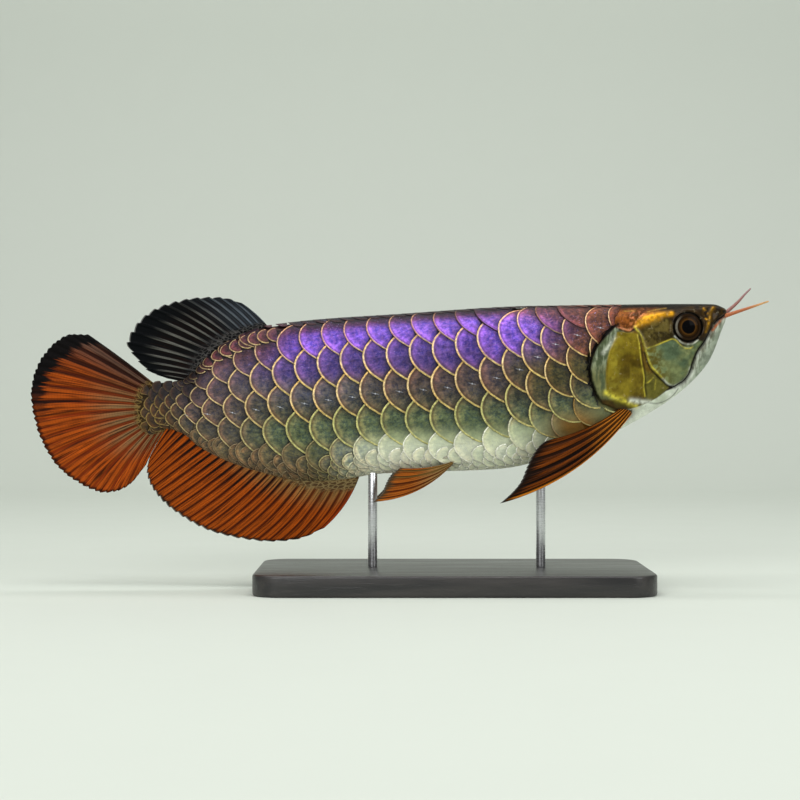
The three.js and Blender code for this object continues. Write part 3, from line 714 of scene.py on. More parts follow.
def skinShape(across, lengthwise):
    share = 1 - np.abs(2 * across - 1)  # from the ridge down one side and up the other
    rows = skinRows(lengthwise)
    points, normals = bodyAt(rows, share)
    back, height = seenPlace(points)
    sideways = smooth(np.abs(normals[..., 1]), 0.12, 0.5)
    reach = bareSkin(back, height)
    bare = smooth(reach, -0.25, 0.1)
    high = bare + (smooth(reach, -2.4, -1.4) - bare) * smooth(height, 28, 31)
    cover = insideDistance(head["gillCover"], back, height)
    gap = within(cover, -2.8, -1.4, -0.35, 0) * smooth(back, 44, 47) * smooth(height, -4, 1)
    under = body["coatDepth"] * smooth(back, 41, 44) * (1 - high) + body["gapDepth"] * gap * (1 - bare)
    lift = (headRelief(back, height, sideways) * bare - under) * within(rows, 0, 1.5, 254, 255)
    points = points + normals * lift[..., None]
    points[..., 1] *= np.where(across > 0.5, 1, -1)
    for end, middleHeight in ((lengthwise <= 0, body["snoutHeight"]), (lengthwise >= 1, body["endHeight"])):
        points[end, 1] = 0
        points[end, 2] = middleHeight
    # Painted shade: the skin under the plates is darker, as in the gaps between them; less so on the belly
    # and the upper head
    shadeUnderPlates = 0.45 + 0.4 * smooth(share, 0.66, 0.8) + 0.5 * fade(rows, 44, 50) * (share < 0.3)
    colours = headPaint(bodyPaint(rows, share) * shadeUnderPlates[..., None], back, height, share)
    colours = paint(colours, bodyColours["amber"], 0.8 * finWarmth(rows, share))
    colours = paint(colours, bodyColours["finRootShadowAndTone"], np.clip(1.2 * finRootShadowAndTone(back, height), 0, 0.9))
    return toWorld(points), {"wet": smooth(share, 0.1, 0.22)}, {"paint": colours}


def skinMaterial():
    material, w = newMaterial("wetSkin")
    fine, pits = w.noise(1400, 3), w.noise(420, 4, rough=0.65)
    colour = w.mix(w.attribute("paint", "Color"), (0.9, 0.8, 0.5), pits.ramp(0.6, 0.75, 0, 0.16))
    return finish(material, w, {
        "Base Color": w.mix(colour, (0.012, 0.009, 0.005), fine.ramp(0.56, 0.76, 0, 0.3)),
        "Metallic": 0.3,
        "Roughness": pits.ramp(0.3, 0.7, 0.28, 0.46),
        "Specular IOR Level": 0.06,
        "Coat Weight": w.attribute("wet") * 0.12,
        "Coat Roughness": 0.12,
        "Normal": w.bumped(fine * 0.4 + pits, 0.0003, 0.6),
    })


# The scales: overlapping round plates in rows that follow the lateral line

scales = {
    "firstBack": 42,  # the rear edge of the foremost scale on the lateral line
    "lastBack": 262,
    "overlap": [1.12, 0.84],  # a plate's breadth against the pitch and the rows' distance
    "pitch": [[40, 10], [62, 10], [75, 9], [84, 7.9], [93, 8.9], [103, 10.2], [130, 10.1], [212, 9.4],
              [224, 8], [232, 6.4], [240, 4.6], [255, 3.8]],
    "lineShare": [[40, 0.15], [62, 0.212], [81, 0.286], [97, 0.4], [112, 0.45], [130, 0.475], [180, 0.485],
                  [221, 0.555], [255, 0.56]],  # where round the flank the lateral line runs
    "rowStep": [[40, 0.165], [70, 0.178], [85, 0.195], [110, 0.187], [130, 0.178], [180, 0.172], [221, 0.158],
                [240, 0.145], [255, 0.14]],
    "slant": [[40, -1.3], [85, -1.7], [103, -1.2], [115, 0], [130, 0.6], [150, 1.2], [180, 1.7], [235, 2.4],
              [255, 1.5]],  # how much further back the next row down starts
    "rows": {-4: -4, -3: -3, -2: -2, -1: -1, 0: 0, 1: 1, 2: 1.9, 3: 2.7},  # each row's distance from the line
    "within": [38, 253],  # where plates grow, from the nape to the tail fin's root
    "sides": [0.045, 0.95, 0.86],  # the same round the flank, and its end for the lower rows
    "outline": [[-110, 0.93], [-41, 0.93], [-22, 0.98], [0, 1], [40, 0.985], [60, 0.995], [83, 1.09],
                [112, 1.22]],  # the edge's distance from the middle, by degrees below straight back
    "dip": math.radians(16),  # the way a plate rises from its root dips towards the belly
    "rise": 0.056,  # height gained per mm towards the free edge
    "tipLift": 0.1,
    "bead": 0.08,  # the raised rim
    "thickness": 0.22,
    "sink": 0.12,  # how far a covered part gives way
    "tuck": 3.2,  # how deep a plate dips under the skin of the head
    "fan": [math.radians(-100), math.radians(112)],
    "rootShift": -0.35,
    "large": {"rays": 20, "rings": [0, 0.28, 0.5, 0.68, 0.8, 0.87, 0.91, 0.945, 0.975, 1.0]},
    "small": {"rays": 10, "rings": [0, 0.45, 0.76, 0.9, 1.0]},
    "smallUnder": 4.6,  # plates with a smaller radius than this have fewer faces
    # The small plates of ridge and keel: share, pitch, radius, start, end and extra height
    "strips": [[0.0, 0.55, 0.5, 45, 204, 0.0], [0.1, 0.42, 0.36, 198, 240, 0.03],
               [0.87, 0.5, 0.44, 79, 250, -0.14], [0.915, 0.44, 0.38, 66, 250, -0.176],
               [0.96, 0.4, 0.34, 60, 250, -0.212], [1.0, 0.4, 0.34, 62, 250, -0.244]],
    "rimBreadth": 0.56,
}
pitchAt, lineAt = smoothLine(scales["pitch"]), smoothLine(scales["lineShare"])
rowStepAt, slantAt = smoothLine(scales["rowStep"]), smoothLine(scales["slant"])


# Every scale's rear point, radius, extra height and whether it carries a pore of the lateral line
def scaleRows():
    found = []
    low, high, lowerHigh = scales["sides"]
    tip = scales["firstBack"]
    while tip < scales["lastBack"]:
        for row, steps in scales["rows"].items():
            back = tip + row * slantAt(tip)
            share = lineAt(back) + steps * rowStepAt(back)
            inReach = scales["within"][0] < back < scales["within"][1]
            if inReach and low < share < (lowerHigh if row > 1 else high):
                spread = rowStepAt(back) * girthAt(back)
                radius = 0.5 * np.dot(scales["overlap"], [pitchAt(tip), spread])
                radius *= 1 - 0.3 * smooth(share, 0.72, 0.84) - 0.25 * fade(share, 0.08, 0.2) * (back > 190)
                found.append((back, share, radius, -0.05 * (row > 1), row == 0))
        tip += pitchAt(tip)
    for share, pitch, radius, back, end, lift in scales["strips"]:
        while back < end:
            smaller = 0.2 * smooth(back, 188, 200) * (share == 0)
            found.append((back, share, (radius - smaller) * pitchAt(back), lift, False))
            back += pitch * pitchAt(back)
    return found


# How far a plate's edge lies from its middle at a turn below straight back, against its radius
def plateReach(turn):
    return np.interp(turn, *(np.array(scales["outline"]) * [math.pi / 180, 1]).T)


# How much flatter the plates lie along the ridge and the keel
def calm(share):
    return (0.3 + 0.7 * smooth(folded(share), 0.02, 0.16)) * (1 - 0.45 * smooth(folded(share), 0.84, 0.94))


# One plate: rays from a root point to its free edge, in units of its radius, back and downwards
def plateTemplate(size):
    rays = scales[size]["rays"]
    turns = np.linspace(*scales["fan"], rays + 1)
    edge = np.stack([np.cos(turns), np.sin(turns)], -1) * plateReach(turns)[:, None]
    root = np.array([scales["rootShift"], 0])
    reach = np.linalg.norm(edge - root, axis=1)
    rings = scales[size]["rings"][1:]
    points = np.concatenate([root[None]] + [root + (edge - root) * ring for ring in rings] + [edge])
    toEdge = np.concatenate([[1]] + [(1 - ring) * reach for ring in rings] + [0 * reach])
    count = rays + 1
    faces = [[0, 1 + k, 2 + k] for k in range(rays)]
    for ring in range(len(rings)):
        start = 1 + ring * count
        for k in range(rays):
            faces.append([start + k, start + count + k, start + count + k + 1, start + k + 1])
    isSkirt = np.arange(len(points)) >= len(points) - count
    return {"points": points, "toEdge": toEdge, "faces": faces, "isSkirt": isSkirt}


# How steps in back and share read as mm over the surface, at a scale's middle
def surfaceFrame(back, share):
    lengthwise = (bodyAt(back + 0.5, share)[0] - bodyAt(back - 0.5, share)[0])
    around = (bodyAt(back, share + 0.004)[0] - bodyAt(back, share - 0.004)[0]) / 0.008
    first = lengthwise / np.linalg.norm(lengthwise)
    second = around - first * np.dot(around, first)
    second /= np.linalg.norm(second)
    return np.array([[np.dot(lengthwise, first), np.dot(around, first)],
                     [np.dot(lengthwise, second), np.dot(around, second)]])


def buildScales(name, side, layout, material):
    templates = {size: plateTemplate(size) for size in ("large", "small")}
    way = np.array([math.cos(scales["dip"]), math.sin(scales["dip"])])
    middles, frames = [], []
    for back, share, radius, _, _ in layout:
        step = np.linalg.solve(surfaceFrame(back, share), [-radius, 0])
        middles.append(np.array([back, share]) + step)
        frames.append(surfaceFrame(*middles[-1]))
    middles = np.array(middles)
    radii, lifts = (np.array([item[k] for item in layout]) for k in (2, 3))
    faces, used, found, start = [], [], {}, 0
    random = np.random.default_rng(7)
    for i, (back, share, radius, lift, isLine) in enumerate(layout):
        template = templates["small" if radius < scales["smallUnder"] else "large"]
        used.append(template)
        plate = template["points"] * radius
        steps = np.linalg.solve(frames[i], plate.T).T
        backs, shares = middles[i][0] + steps[:, 0], middles[i][1] + steps[:, 1]
        rise = scales["rise"] * calm(shares)
        height = scales["tipLift"] + lift + rise * (plate @ way - radius)
        # Distance to the edge of the nearest plate that covers this one: the covered part sinks there, and
        # the material paints shadow beside that edge
        shade = np.full(len(plate), 9.0)
        near = np.nonzero((np.abs(middles[:, 0] - middles[i][0]) < 1.2 * (radius + radii))
                          & (np.abs(middles[:, 1] - middles[i][1]) < 0.4))[0]
        for j in near[near != i]:
            offset = np.stack([backs - middles[j][0], shares - middles[j][1]], -1) @ frames[j].T
            itsHeight = scales["tipLift"] + lifts[j] + rise * (offset @ way - radii[j])
            reach = plateReach(np.arctan2(offset[:, 1], offset[:, 0])) * radii[j]
            gap = np.linalg.norm(offset, axis=1) - reach
            shade = np.where(itsHeight > height + 0.01, np.minimum(shade, gap), shade)
        height = height - scales["sink"] * smooth(-shade, 0.2, 1.2)
        edge = template["toEdge"] * radius / rimBreadth(back, share)
        height = height + scales["bead"] * bump(edge, 0.5, 0.45) * min(1, radius / 8) * calm(shares)
        skirt = scales["thickness"] * min(1, radius / 7) * calm(shares)
        height = np.where(template["isSkirt"], height - skirt, height)
        points, normals = bodyAt(backs, shares)
        height = height - scales["tuck"] * smooth(bareSkin(*seenPlace(points)), -1.5, -0.7)
        points = (points + normals * height[:, None]) * [1, side, 1]
        faces.extend([[start + k for k in face] for face in template["faces"]])
        start += len(plate)
        tone = random.random()
        tint = 1 + 0.12 * (random.random() - 0.5) + 0.05 * (random.random(3) - 0.5)
        own = shares + (share - shares) * 0.4 * smooth(folded(shares), 0.1, 0.24)
        for key, value in {
                "points": points, "edge": edge, "shade": np.maximum(shade, 0), "out": plate[:, 0],
                "over": plate[:, 1], "tone": np.full(len(plate), tone),
                "lateral": np.full(len(plate), float(isLine)),
                "upper": fade(folded(shares), 0.26, 0.44) * fade(backs, 204, 224),
                "belly": smooth(folded(shares), 0.64, 0.78) * (1 - 0.75 * smooth(backs, 140, 172)),
                "paint": bodyPaint(backs, own) * tint,
                "rim": rimPaint(backs, np.full(len(backs), share), template["points"][:, 1])}.items():
            found.setdefault(key, []).append(value)
    found = {key: np.concatenate(value) for key, value in found.items()}
    mesh = bpy.data.meshes.new(name)
    mesh.from_pydata(toWorld(found.pop("points")).tolist(), [], faces)
    obj = bpy.data.objects.new(name, mesh)
    bpy.context.collection.objects.link(obj)
    for key, value in found.items():
        (writeColours if key in ("paint", "rim") else writeValues)(mesh, key, value)
    writeBakeMap(mesh, used, layout)
    select(obj)
    if side < 0:
        bpy.ops.object.mode_set(mode="EDIT")
        bpy.ops.mesh.select_all(action="SELECT")
        bpy.ops.mesh.flip_normals()
        bpy.ops.object.mode_set(mode="OBJECT")
    bpy.ops.object.shade_smooth()
    finishPiece(obj, material, [])


# The rim's breadth in mm
def rimBreadth(back, share):
    breadth = scales["rimBreadth"] + 0.24 * smooth(share, 0.15, 0.3) - 0.34 * smooth(share, 0.66, 0.84)
    return float(breadth * (1 - 0.3 * smooth(back, 190, 235)) * (0.7 + 0.3 * smooth(back, 62, 100)))


# Each plate has a cell of its own near its place on an unwrap of the skin: back by share, with no overlap
bakeMap = {"columns": 1.6, "cell": 0.44, "middle": [0.28, 0.08], "reach": [0.78, 1.2]}


def writeBakeMap(mesh, used, layout):
    columns = 1 + int(bakeMap["columns"] * math.ceil(len(layout) ** 0.5))
    order = sorted(range(len(layout)), key=lambda i: layout[i][1])
    rowsNeeded = math.ceil(len(layout) / columns)
    places = {}
    for row in range(rowsNeeded):
        members = sorted(order[row * columns:(row + 1) * columns], key=lambda i: layout[i][0])
        for column, i in enumerate(members):
            places[i] = ((column + 0.5) / columns, (row + 0.5) / rowsNeeded)
    size = bakeMap["cell"] / np.array([columns, rowsNeeded])
    uv = np.concatenate([
        np.array(places[i]) + (template["points"] - bakeMap["middle"]) / bakeMap["reach"] * size
        for i, template in enumerate(used)])
    layer = mesh.uv_layers.new(name="OFBake")
    corners = np.zeros(len(mesh.loops), np.int32)
    mesh.loops.foreach_get("vertex_index", corners)
    layer.data.foreach_set("uv", uv[corners].astype(np.float32).ravel())


def scaleMaterial():
    material, w = newMaterial("pearlScales")
    edge, shade, out, over, tone, upper, belly = (
        w.attribute(name) for name in ("edge", "shade", "out", "over", "tone", "upper", "belly"))
    base, rim = w.attribute("paint", "Color"), w.attribute("rim", "Color")
    place = w.vector(out, over, tone * 90)
    blotches, crackle = w.noise(0.36, 3, place, 0.6), w.noise(0.8, 5, place, 0.7)
    specks = w.noise(2.1, 2, place)
    angle = w.math("ARCTAN2", over, out + 4)
    streaks = w.noise(1.0, 3, w.vector(angle * 12, out * 0.16, tone * 57))
    nearEdge = edge.ramp(1.4, 7.5, 1, 0)

    # A mask that is weaker on the belly
    def bellyTo(low, high=1):
        return belly.ramp(0, 1, high, low)

    deep = w.times(base, (0.42, 0.56, 1.1))
    inner = w.mix(base, deep, crackle.ramp(0.42, 0.6) * nearEdge.ramp(0, 1, 0.85, 0.3) * bellyTo(0.1, 0.9))
    warm = w.times(inner, w.mix((1.25, 0.82, 0.66), (1.08, 0.86, 0.9), upper))
    inner = w.mix(inner, warm, nearEdge * blotches.ramp(0.36, 0.6, 0.25, 0.9) * bellyTo(0.15, 0.9))
    # Lighter by the free rim and darker towards the covered front: partly the plate's own tone, partly
    # painted shade from the plate in front; noise adds random tone
    lightness = nearEdge.ramp(0, 1, 0.74, 1.32) * blotches.ramp(0.32, 0.68, 0.68, 1.32)
    lightness = lightness * streaks.ramp(0.28, 0.72, 0.8, 1.18) * crackle.ramp(0.36, 0.68, 1.2, 0.8)
    inner = w.mix(w.times(inner, w.gray(lightness)), inner, belly * 0.75)
    # Painted highlights: small lilac glints of light on the upper plates
    glintHighlight = specks.ramp(0.6, 0.72, 0, 0.55) * blotches.ramp(0.45, 0.62) * upper
    inner = w.mix(inner, (0.42, 0.36, 0.75), glintHighlight)
    # A dark band just inside the raised rim: partly the plate's own brown border, partly painted shade inside
    # the rim
    rimBorderAndShade = edge.ramp(1.0, 1.3, 0.0, 0.5) * edge.ramp(1.5, 2.8, 1, 0) * bellyTo(0.15)
    inner = w.mix(inner, (0.06, 0.025, 0.014), rimBorderAndShade)
    rimMask = edge.ramp(0.6, 1.25, 1, 0) * streaks.ramp(0.25, 0.45, 0.6, 1) * bellyTo(0.9, 0.97)
    rim = w.times(rim, w.gray(crackle.ramp(0.38, 0.66, 0.62, 1.4)))
    colour = w.mix(inner, rim, rimMask)
    # Painted shadow: a dark line just outside the edge of each covering plate, and wider painted shade beyond
    # it, both weaker on the belly
    colour = w.mix(colour, (0.006, 0.005, 0.007), shade.ramp(0.08, 0.5, 0.92, 0) * bellyTo(0.22))
    wideShadow = shade.ramp(0.3, 2.6, 0.55, 0) * (1 - rimMask * 0.7) * bellyTo(0.25)
    colour = w.mix(colour, (0.012, 0.01, 0.014), wideShadow)
    ahead, below = out - 4.6, over - 2.2
    spot = w.math("POWER", ahead * ahead + below * below, 0.5).ramp(0.16, 0.46, 1, 0)
    slope = w.math("ABSOLUTE", below + ahead * 0.3)
    dash = slope.ramp(0.06, 0.2, 0.5, 0) * w.math("ABSOLUTE", ahead).ramp(0.9, 1.9, 1, 0)
    pores = w.math("MAXIMUM", spot, dash) * w.attribute("lateral")
    return finish(material, w, {
        "Base Color": w.mix(colour, (0.5, 0.52, 0.58), pores),
        "Metallic": bellyTo(0.05, 0.35),
        "Roughness": blotches.ramp(0.3, 0.7, 0.34, 0.5),
        "Specular IOR Level": 0.22,
        "Normal": w.bumped(streaks * 0.6 + blotches + crackle * 0.8 + pores, 0.0003, 0.8),
    })


# The fins: each one a closed pillow of rays and webs from its root line to its margin

fins = {
    "caudal": {
        "rays": 16, "bow": [0.01, 0.03], "thick": [2.0, 0.75], "columns": 11, "rows": 54, "root": [
            [246, 6.6], [250, 1.6], [251, -4.3], [250, -10.5], [241.5, -12.5]],
        "margin": [[275.4, 28.4], [284.9, 28], [292.7, 22], [297.8, 13.8], [300, 3.5], [299, -6.5],
                   [295.7, -17.3], [289.2, -28.1], [279.7, -35.8], [268.9, -40.1], [258.5, -37.5],
                   [250.6, -28.6]],
        "rayWidth": 0.34, "fork": 0.24, "teeth": 3, "scallop": 0.9, "sweep": 0,
    },
    "dorsal": {
        "rays": 18, "bow": [0.04, 0.02], "thick": [1.9, 0.7], "columns": 10, "rows": 42, "root": [
            [197, 31], [207, 26.5], [217, 20], [224, 12.5], [231, 6.6]],
        "margin": [[209, 41.9], [217.6, 44.4], [231.4, 43.9], [245.2, 40.1], [253.8, 33.7], [258.6, 25.4],
                   [256.8, 20.6], [249.9, 12.9], [241.7, 9.4]],
        "rayWidth": 0.13, "fork": 0.05, "teeth": 1, "scallop": 1.2, "sweep": 0,
    },
    "anal": {
        "rays": 25, "bow": [-0.07, 0.02], "thick": [2.2, 0.75], "columns": 9, "rows": 44, "root": [
            [157.5, -31], [176, -32.5], [192, -30.5], [208, -26.5], [223, -19.5], [233, -11.5], [240, -10]],
        "margin": [[173.5, -55.3], [183.9, -59.9], [197.7, -61.1], [213.2, -59.1], [227.1, -54.7],
                   [240.5, -46.2], [247.6, -38.2], [250, -31.2], [248.9, -25]],
        "rayWidth": 0.38, "fork": 0.1, "teeth": 1, "scallop": 0.8, "sweep": 0.5,
    },
    "pectoral": {
        "rays": 7, "bow": [-0.09, -0.05], "thick": [2.1, 0.7], "columns": 18, "rows": 60,
        "root": [[39.6, -4.4], [41.5, -3.4], [45, -3]],
        "margin": [[97.6, -44.7], [92.3, -39.9], [88.5, -35], [85.5, -27.6], [82.4, -22], [78.6, -18.2],
                   [73.4, -16.6]],
        "rayWidth": 0.24, "fork": 0.2, "teeth": 3, "scallop": 0.9, "sweep": 0,
    },
    "pelvic": {
        "rays": 6, "bow": [-0.1, -0.06], "thick": [1.6, 0.65], "columns": 14, "rows": 40,
        "root": [[118.2, -28], [117, -27], [116.2, -25.8]],
        "margin": [[152.4, -44], [148.4, -40], [146.3, -35.4], [143.6, -31.6], [141, -29.2]],
        "rayWidth": 0.3, "fork": 0.2, "teeth": 3, "scallop": 0.7, "sweep": 0,
    },
}
# How deep a paired fin's root lies in the flank, and how far the fin spreads outwards
finSeat = {"sunk": 1.2, "splay": 0.24}
# The far pectoral fin is folded a little closer, behind the near one
foldedFin = {"name": "pectoralFinLeft", "turn": math.radians(5), "reach": 0.88}


# How much of a ray there is at a place: 1 on a ray's middle, 0 on the web. A ray forks on its way out.
def rayShare(phase, out, spec):
    apart = np.abs(phase - np.round(phase))
    spread = smooth(out, 0.3, 0.95)
    nearest = np.abs(apart - spec["fork"] * spread)
    return np.exp(-(nearest / (spec["rayWidth"] * (1 - 1.6 * spec["fork"] * spread))) ** 4)


def foldLine(line, middle):
    c, s = (f(foldedFin["turn"]) * foldedFin["reach"] for f in (math.cos, math.sin))
    away = np.array(line) - middle
    return middle + np.stack([away[:, 0] * c + away[:, 1] * s, away[:, 1] * c - away[:, 0] * s], -1)


def buildFin(name, spec, side, material, nodes):
    periods = spec["rays"] - 1
    columns = periods * spec["columns"]
    margin = spec["margin"]
    if name == foldedFin["name"]:
        margin = foldLine(margin, np.array(spec["root"][0])).tolist()

    def shape(across, lengthwise):
        place = 1 - np.abs(2 * across - 1)
        phase = place * periods
        start = along(spec["root"], place)
        end = along(margin, place + spec["sweep"] * place * (1 - place))
        length = np.hypot(*(end - start).T)
        tooth = np.maximum(0, phase * spec["teeth"] - np.floor(phase * spec["teeth"] + 1e-6))
        tip = -spec["scallop"] * tooth ** 1.4 * (0.4 + 1.2 * cloud(phase, 0 * phase, 1.7, 5))
        out = lengthwise ** 0.9
        reach = 1 + tip * smooth(out, 0.6, 1) / length
        way = (end - start) / length[:, None]
        sideways = np.stack([-way[:, 1], way[:, 0]], -1)
        bow = spec["bow"][0] + (spec["bow"][1] - spec["bow"][0]) * place
        bend = bow * length * 4 * out * (1 - out)
        flat = start + (end - start) * (out * reach)[:, None] + sideways * bend[:, None]
        ray = rayShare(phase, out, spec)
        half = 0.5 * (spec["thick"][0] + (spec["thick"][1] - spec["thick"][0]) * np.sqrt(out))
        half = half * (0.45 + 0.47 * ray)
        closing = np.minimum(1, (1 - lengthwise) / 0.03) * np.minimum(1, lengthwise / 0.02)
        closing = closing * np.minimum(1, np.minimum(place, 1 - place) * columns / 1.2)
        half = half * np.sqrt(np.clip(closing, 0, 1))
        y = 0.35 * np.sin(place * 9 + out * 2) * out  # a slight wave
        if side:
            y = flankY(start[:, 0], start[:, 1]) - finSeat["sunk"] + finSeat["splay"] * length * out
            flat = trueSize(flat, y)
            y = side * y
        points = np.stack([-flat[:, 0], y + np.where(across > 0.5, 1, -1) * half, flat[:, 1]], -1)
        return toWorld(points), {"ray": ray, "out": out, "across": place, "phase": phase}, {}

    finishPiece(gridPiece(name, columns * 2, spec["rows"], shape), material, nodes)


# A fin's colours, and the shares of its reach and breadth between which they change
plainFin = {
    "rootFade": 0.0, "leadDark": 0.0, "leadLine": 0.1, "leadBlack": 0.0, "edgeAcross": [2, 3],
    "edgeLead": 1.0, "thinEdge": 1.0, "streak": None, "dashes": 0.0, "foot": None, "footFade": 0.0,
}
finLooks = {
    "caudalFin": {
        **plainFin, "ray": rgb(162, 72, 16), "web": rgb(120, 44, 10), "lateWeb": rgb(116, 42, 10),
        "root": rgb(124, 98, 66), "rootEnd": [0.2, 0.62], "lead": rgb(74, 62, 54), "leadDark": 0.9,
        "leadEnd": [0.06, 0.22], "leadLine": 0.5, "leadBlack": 0.1, "edge": rgb(12, 10, 10),
        "edgeStart": [0.84, 0.91], "edgeAcross": [0.3, 0.5], "thinEdge": 0.75, "streak": [0.365, 0.012],
        "dark": 0.75, "rim": 0.0, "foot": [0.05, 0.12], "footColour": rgb(62, 46, 26),
        "cells": rgb(128, 106, 60),
    },
    "dorsalFin": {
        **plainFin, "ray": rgb(104, 104, 98), "web": rgb(5, 6, 7), "lateWeb": rgb(6, 7, 8),
        "root": rgb(40, 46, 54), "rootEnd": [0.16, 0.4], "lead": rgb(92, 104, 116), "leadEnd": [0.12, 0.4],
        "edge": rgb(5, 7, 9), "edgeStart": [0.5, 0.86], "edgeLead": 0.35, "dark": 0.35, "rim": 0.55,
        "foot": [0.14, 0.26], "footColour": rgb(14, 14, 16), "cells": rgb(74, 72, 70),
    },
    "analFin": {
        **plainFin, "ray": rgb(160, 72, 12), "web": rgb(70, 22, 3), "lateWeb": rgb(60, 18, 3),
        "root": rgb(140, 104, 58), "rootFade": 0.6, "rootEnd": [0.3, 0.62], "lead": rgb(160, 54, 12),
        "leadEnd": [0.0, 0.05], "edge": rgb(30, 22, 14), "edgeStart": [0.95, 1.0], "thinEdge": 0.7,
        "dark": 0.7, "rim": 0.45, "dashes": 0.9, "foot": [0.22, 0.32], "footFade": 0.5,
        "footColour": rgb(78, 60, 38), "cells": rgb(130, 112, 74),
    },
    "pectoralFin": {
        **plainFin, "ray": rgb(108, 52, 9), "web": rgb(14, 5, 2), "lateWeb": rgb(50, 24, 6),
        "root": rgb(204, 124, 38), "rootEnd": [0.12, 0.5], "lead": rgb(206, 122, 26), "leadEnd": [0.04, 0.11],
        "edge": rgb(24, 14, 8), "edgeStart": [0.84, 0.98], "streak": [0.3, 0.03], "dark": 0.7, "rim": 0.15,
    },
    "pelvicFin": {
        **plainFin, "ray": rgb(168, 90, 28), "web": rgb(92, 36, 6), "lateWeb": rgb(110, 84, 40),
        "root": rgb(172, 142, 88), "rootEnd": [0.16, 0.7], "lead": rgb(190, 108, 36), "leadEnd": [0.04, 0.12],
        "edge": rgb(70, 56, 36), "edgeStart": [0.88, 1.0], "dark": 0.6, "rim": 0.2,
    },
}
ink = (0.004, 0.003, 0.003)


def finMaterial(name):
    look = finLooks[name]
    material, w = newMaterial(name)
    out, across, phase, lines = (w.attribute(key) for key in ("out", "across", "phase", "ray"))
    streaks = w.noise(1.0, 4, w.vector(phase * 4, out * 1.8, 0.0), 0.65)
    hairs = w.noise(1.0, 3, w.vector(phase * 11, out * 2.0, 3.0), 0.6)
    blotches = w.noise(1.0, 3, w.vector(phase * 0.8, out * 5, 5.0))
    segments = w.math("SINE", out * 240).ramp(0.5, 1.0)
    web = w.mix(look["web"], look["lateWeb"], across.ramp(0.46, 0.7))
    colour = w.mix(web, look["ray"], (lines + (streaks - 0.5) * 0.9).ramp(0.15, 0.85))
    nearRoot = (out + across * look["rootFade"]).ramp(*look["rootEnd"], 0.95, 0)
    nearRoot = nearRoot * lines.ramp(0.3, 0.9, 0.1, 1) * across.ramp(0.1, 0.4, 1 - look["leadDark"] * 0.7, 1)
    colour = w.mix(colour, look["root"], nearRoot)
    leadWeb = across.ramp(0.12, 0.4, look["leadDark"], 0) * lines.ramp(0.5, 0.95, 1, 0.35)
    colour = w.mix(colour, ink, leadWeb * streaks.ramp(0.2, 0.42))
    leadRay = lines.ramp(look["leadLine"], 0.9, 0.3 - look["leadLine"] * 0.5, 1)
    colour = w.mix(colour, look["lead"], across.ramp(*look["leadEnd"], 0.85, 0) * leadRay)
    colour = w.mix(colour, (0.006, 0.003, 0.002), streaks.ramp(0.52, 0.68, 0, look["dark"]))
    colour = w.mix(colour, (0.02, 0.005, 0.002), hairs.ramp(0.52, 0.7, 0, 0.75))
    light = w.times(colour, (1.7, 1.6, 1.5))
    colour = w.mix(colour, light, hairs.ramp(0.3, 0.46, 0.9, 0) * blotches.ramp(0.35, 0.6))
    colour = w.mix(colour, ink, segments * lines * 0.12)
    dashes = lines.ramp(0.3, 0.7, look["dashes"], 0) * out.ramp(0.03, 0.12) * out.ramp(0.26, 0.46, 1, 0)
    colour = w.mix(colour, ink, dashes * across.ramp(0.2, 0.4) * streaks.ramp(0.3, 0.5))
    threads = w.math("SINE", phase * fullTurn * 3 + hairs * 5).ramp(-1, 1)
    colour = w.mix(colour, (0.008, 0.003, 0.002), threads.ramp(0.4, 1, 0, 0.55) * hairs.ramp(0.35, 0.55))
    ragged = out + (streaks - 0.5) * 0.3 + (hairs - 0.5) * 0.2 + across.ramp(0, 0.3, look["leadBlack"], 0)
    thin = (out + (hairs - 0.5) * 0.05).ramp(0.95, 0.985, 0, look["thinEdge"])
    wide = across.ramp(*look["edgeAcross"], 1, 0) * across.ramp(0.1, 0.5, look["edgeLead"], 1)
    colour = w.mix(colour, look["edge"], w.math("MAXIMUM", ragged.ramp(*look["edgeStart"]) * wide, thin))
    if look["leadBlack"]:
        colour = w.mix(colour, look["edge"], across.ramp(0.0, 0.05, 0.95, 0) * out.ramp(0.05, 0.3))
    if look["streak"]:
        place, breadth = look["streak"]
        away = w.math("ABSOLUTE", across - place)
        colour = w.mix(colour, look["edge"], away.ramp(0, breadth, 0.9, 0) * out.ramp(0.45, 0.6))
    colour = w.mix(colour, (0.34, 0.34, 0.32), out.ramp(0.982, 0.995, 0, look["rim"]))
    if look["foot"]:
        spread = w.vector(phase * 1.6, out * 26, 0.0)
        toCell = w.node("TexVoronoi", {"feature": "DISTANCE_TO_EDGE"}, {"Vector": spread, "Scale": 1.0})
        scaly = w.mix(look["footColour"], look["cells"], toCell.ramp(0.04, 0.16, 0.9, 0))
        foot = out + across * look["footFade"] + (streaks - 0.5) * 0.12
        colour = w.mix(colour, scaly, foot.ramp(*look["foot"], 1, 0))
    return finish(material, w, {
        "Base Color": colour,
        "Roughness": streaks.ramp(0.2, 0.8, 0.42, 0.58),
        "Specular IOR Level": 0.04,
        "Normal": w.bumped(lines + streaks * 0.5 + hairs * 0.4 - segments * 0.2, 0.0003, 0.7),
    })


# The eyes: a shallow dome with its rings of colour, under a clear wet coat

eye = {
    "radius": 6.4, "dome": 1.9, "proud": 0.75, "turned": 0.6, "rimDrop": 1.5, "grid": [72, 40],
    "pupil": 2.7, "goldInner": 2.85, "goldOuter": 3.3, "iris": 4.6, "white": 5.75,
    "black": (0.002, 0.0018, 0.002), "amber": rgb(74, 48, 16), "brown": rgb(40, 24, 6),
    "dark": rgb(20, 11, 5), "ring": rgb(44, 30, 16), "pale": rgb(122, 118, 106),
}


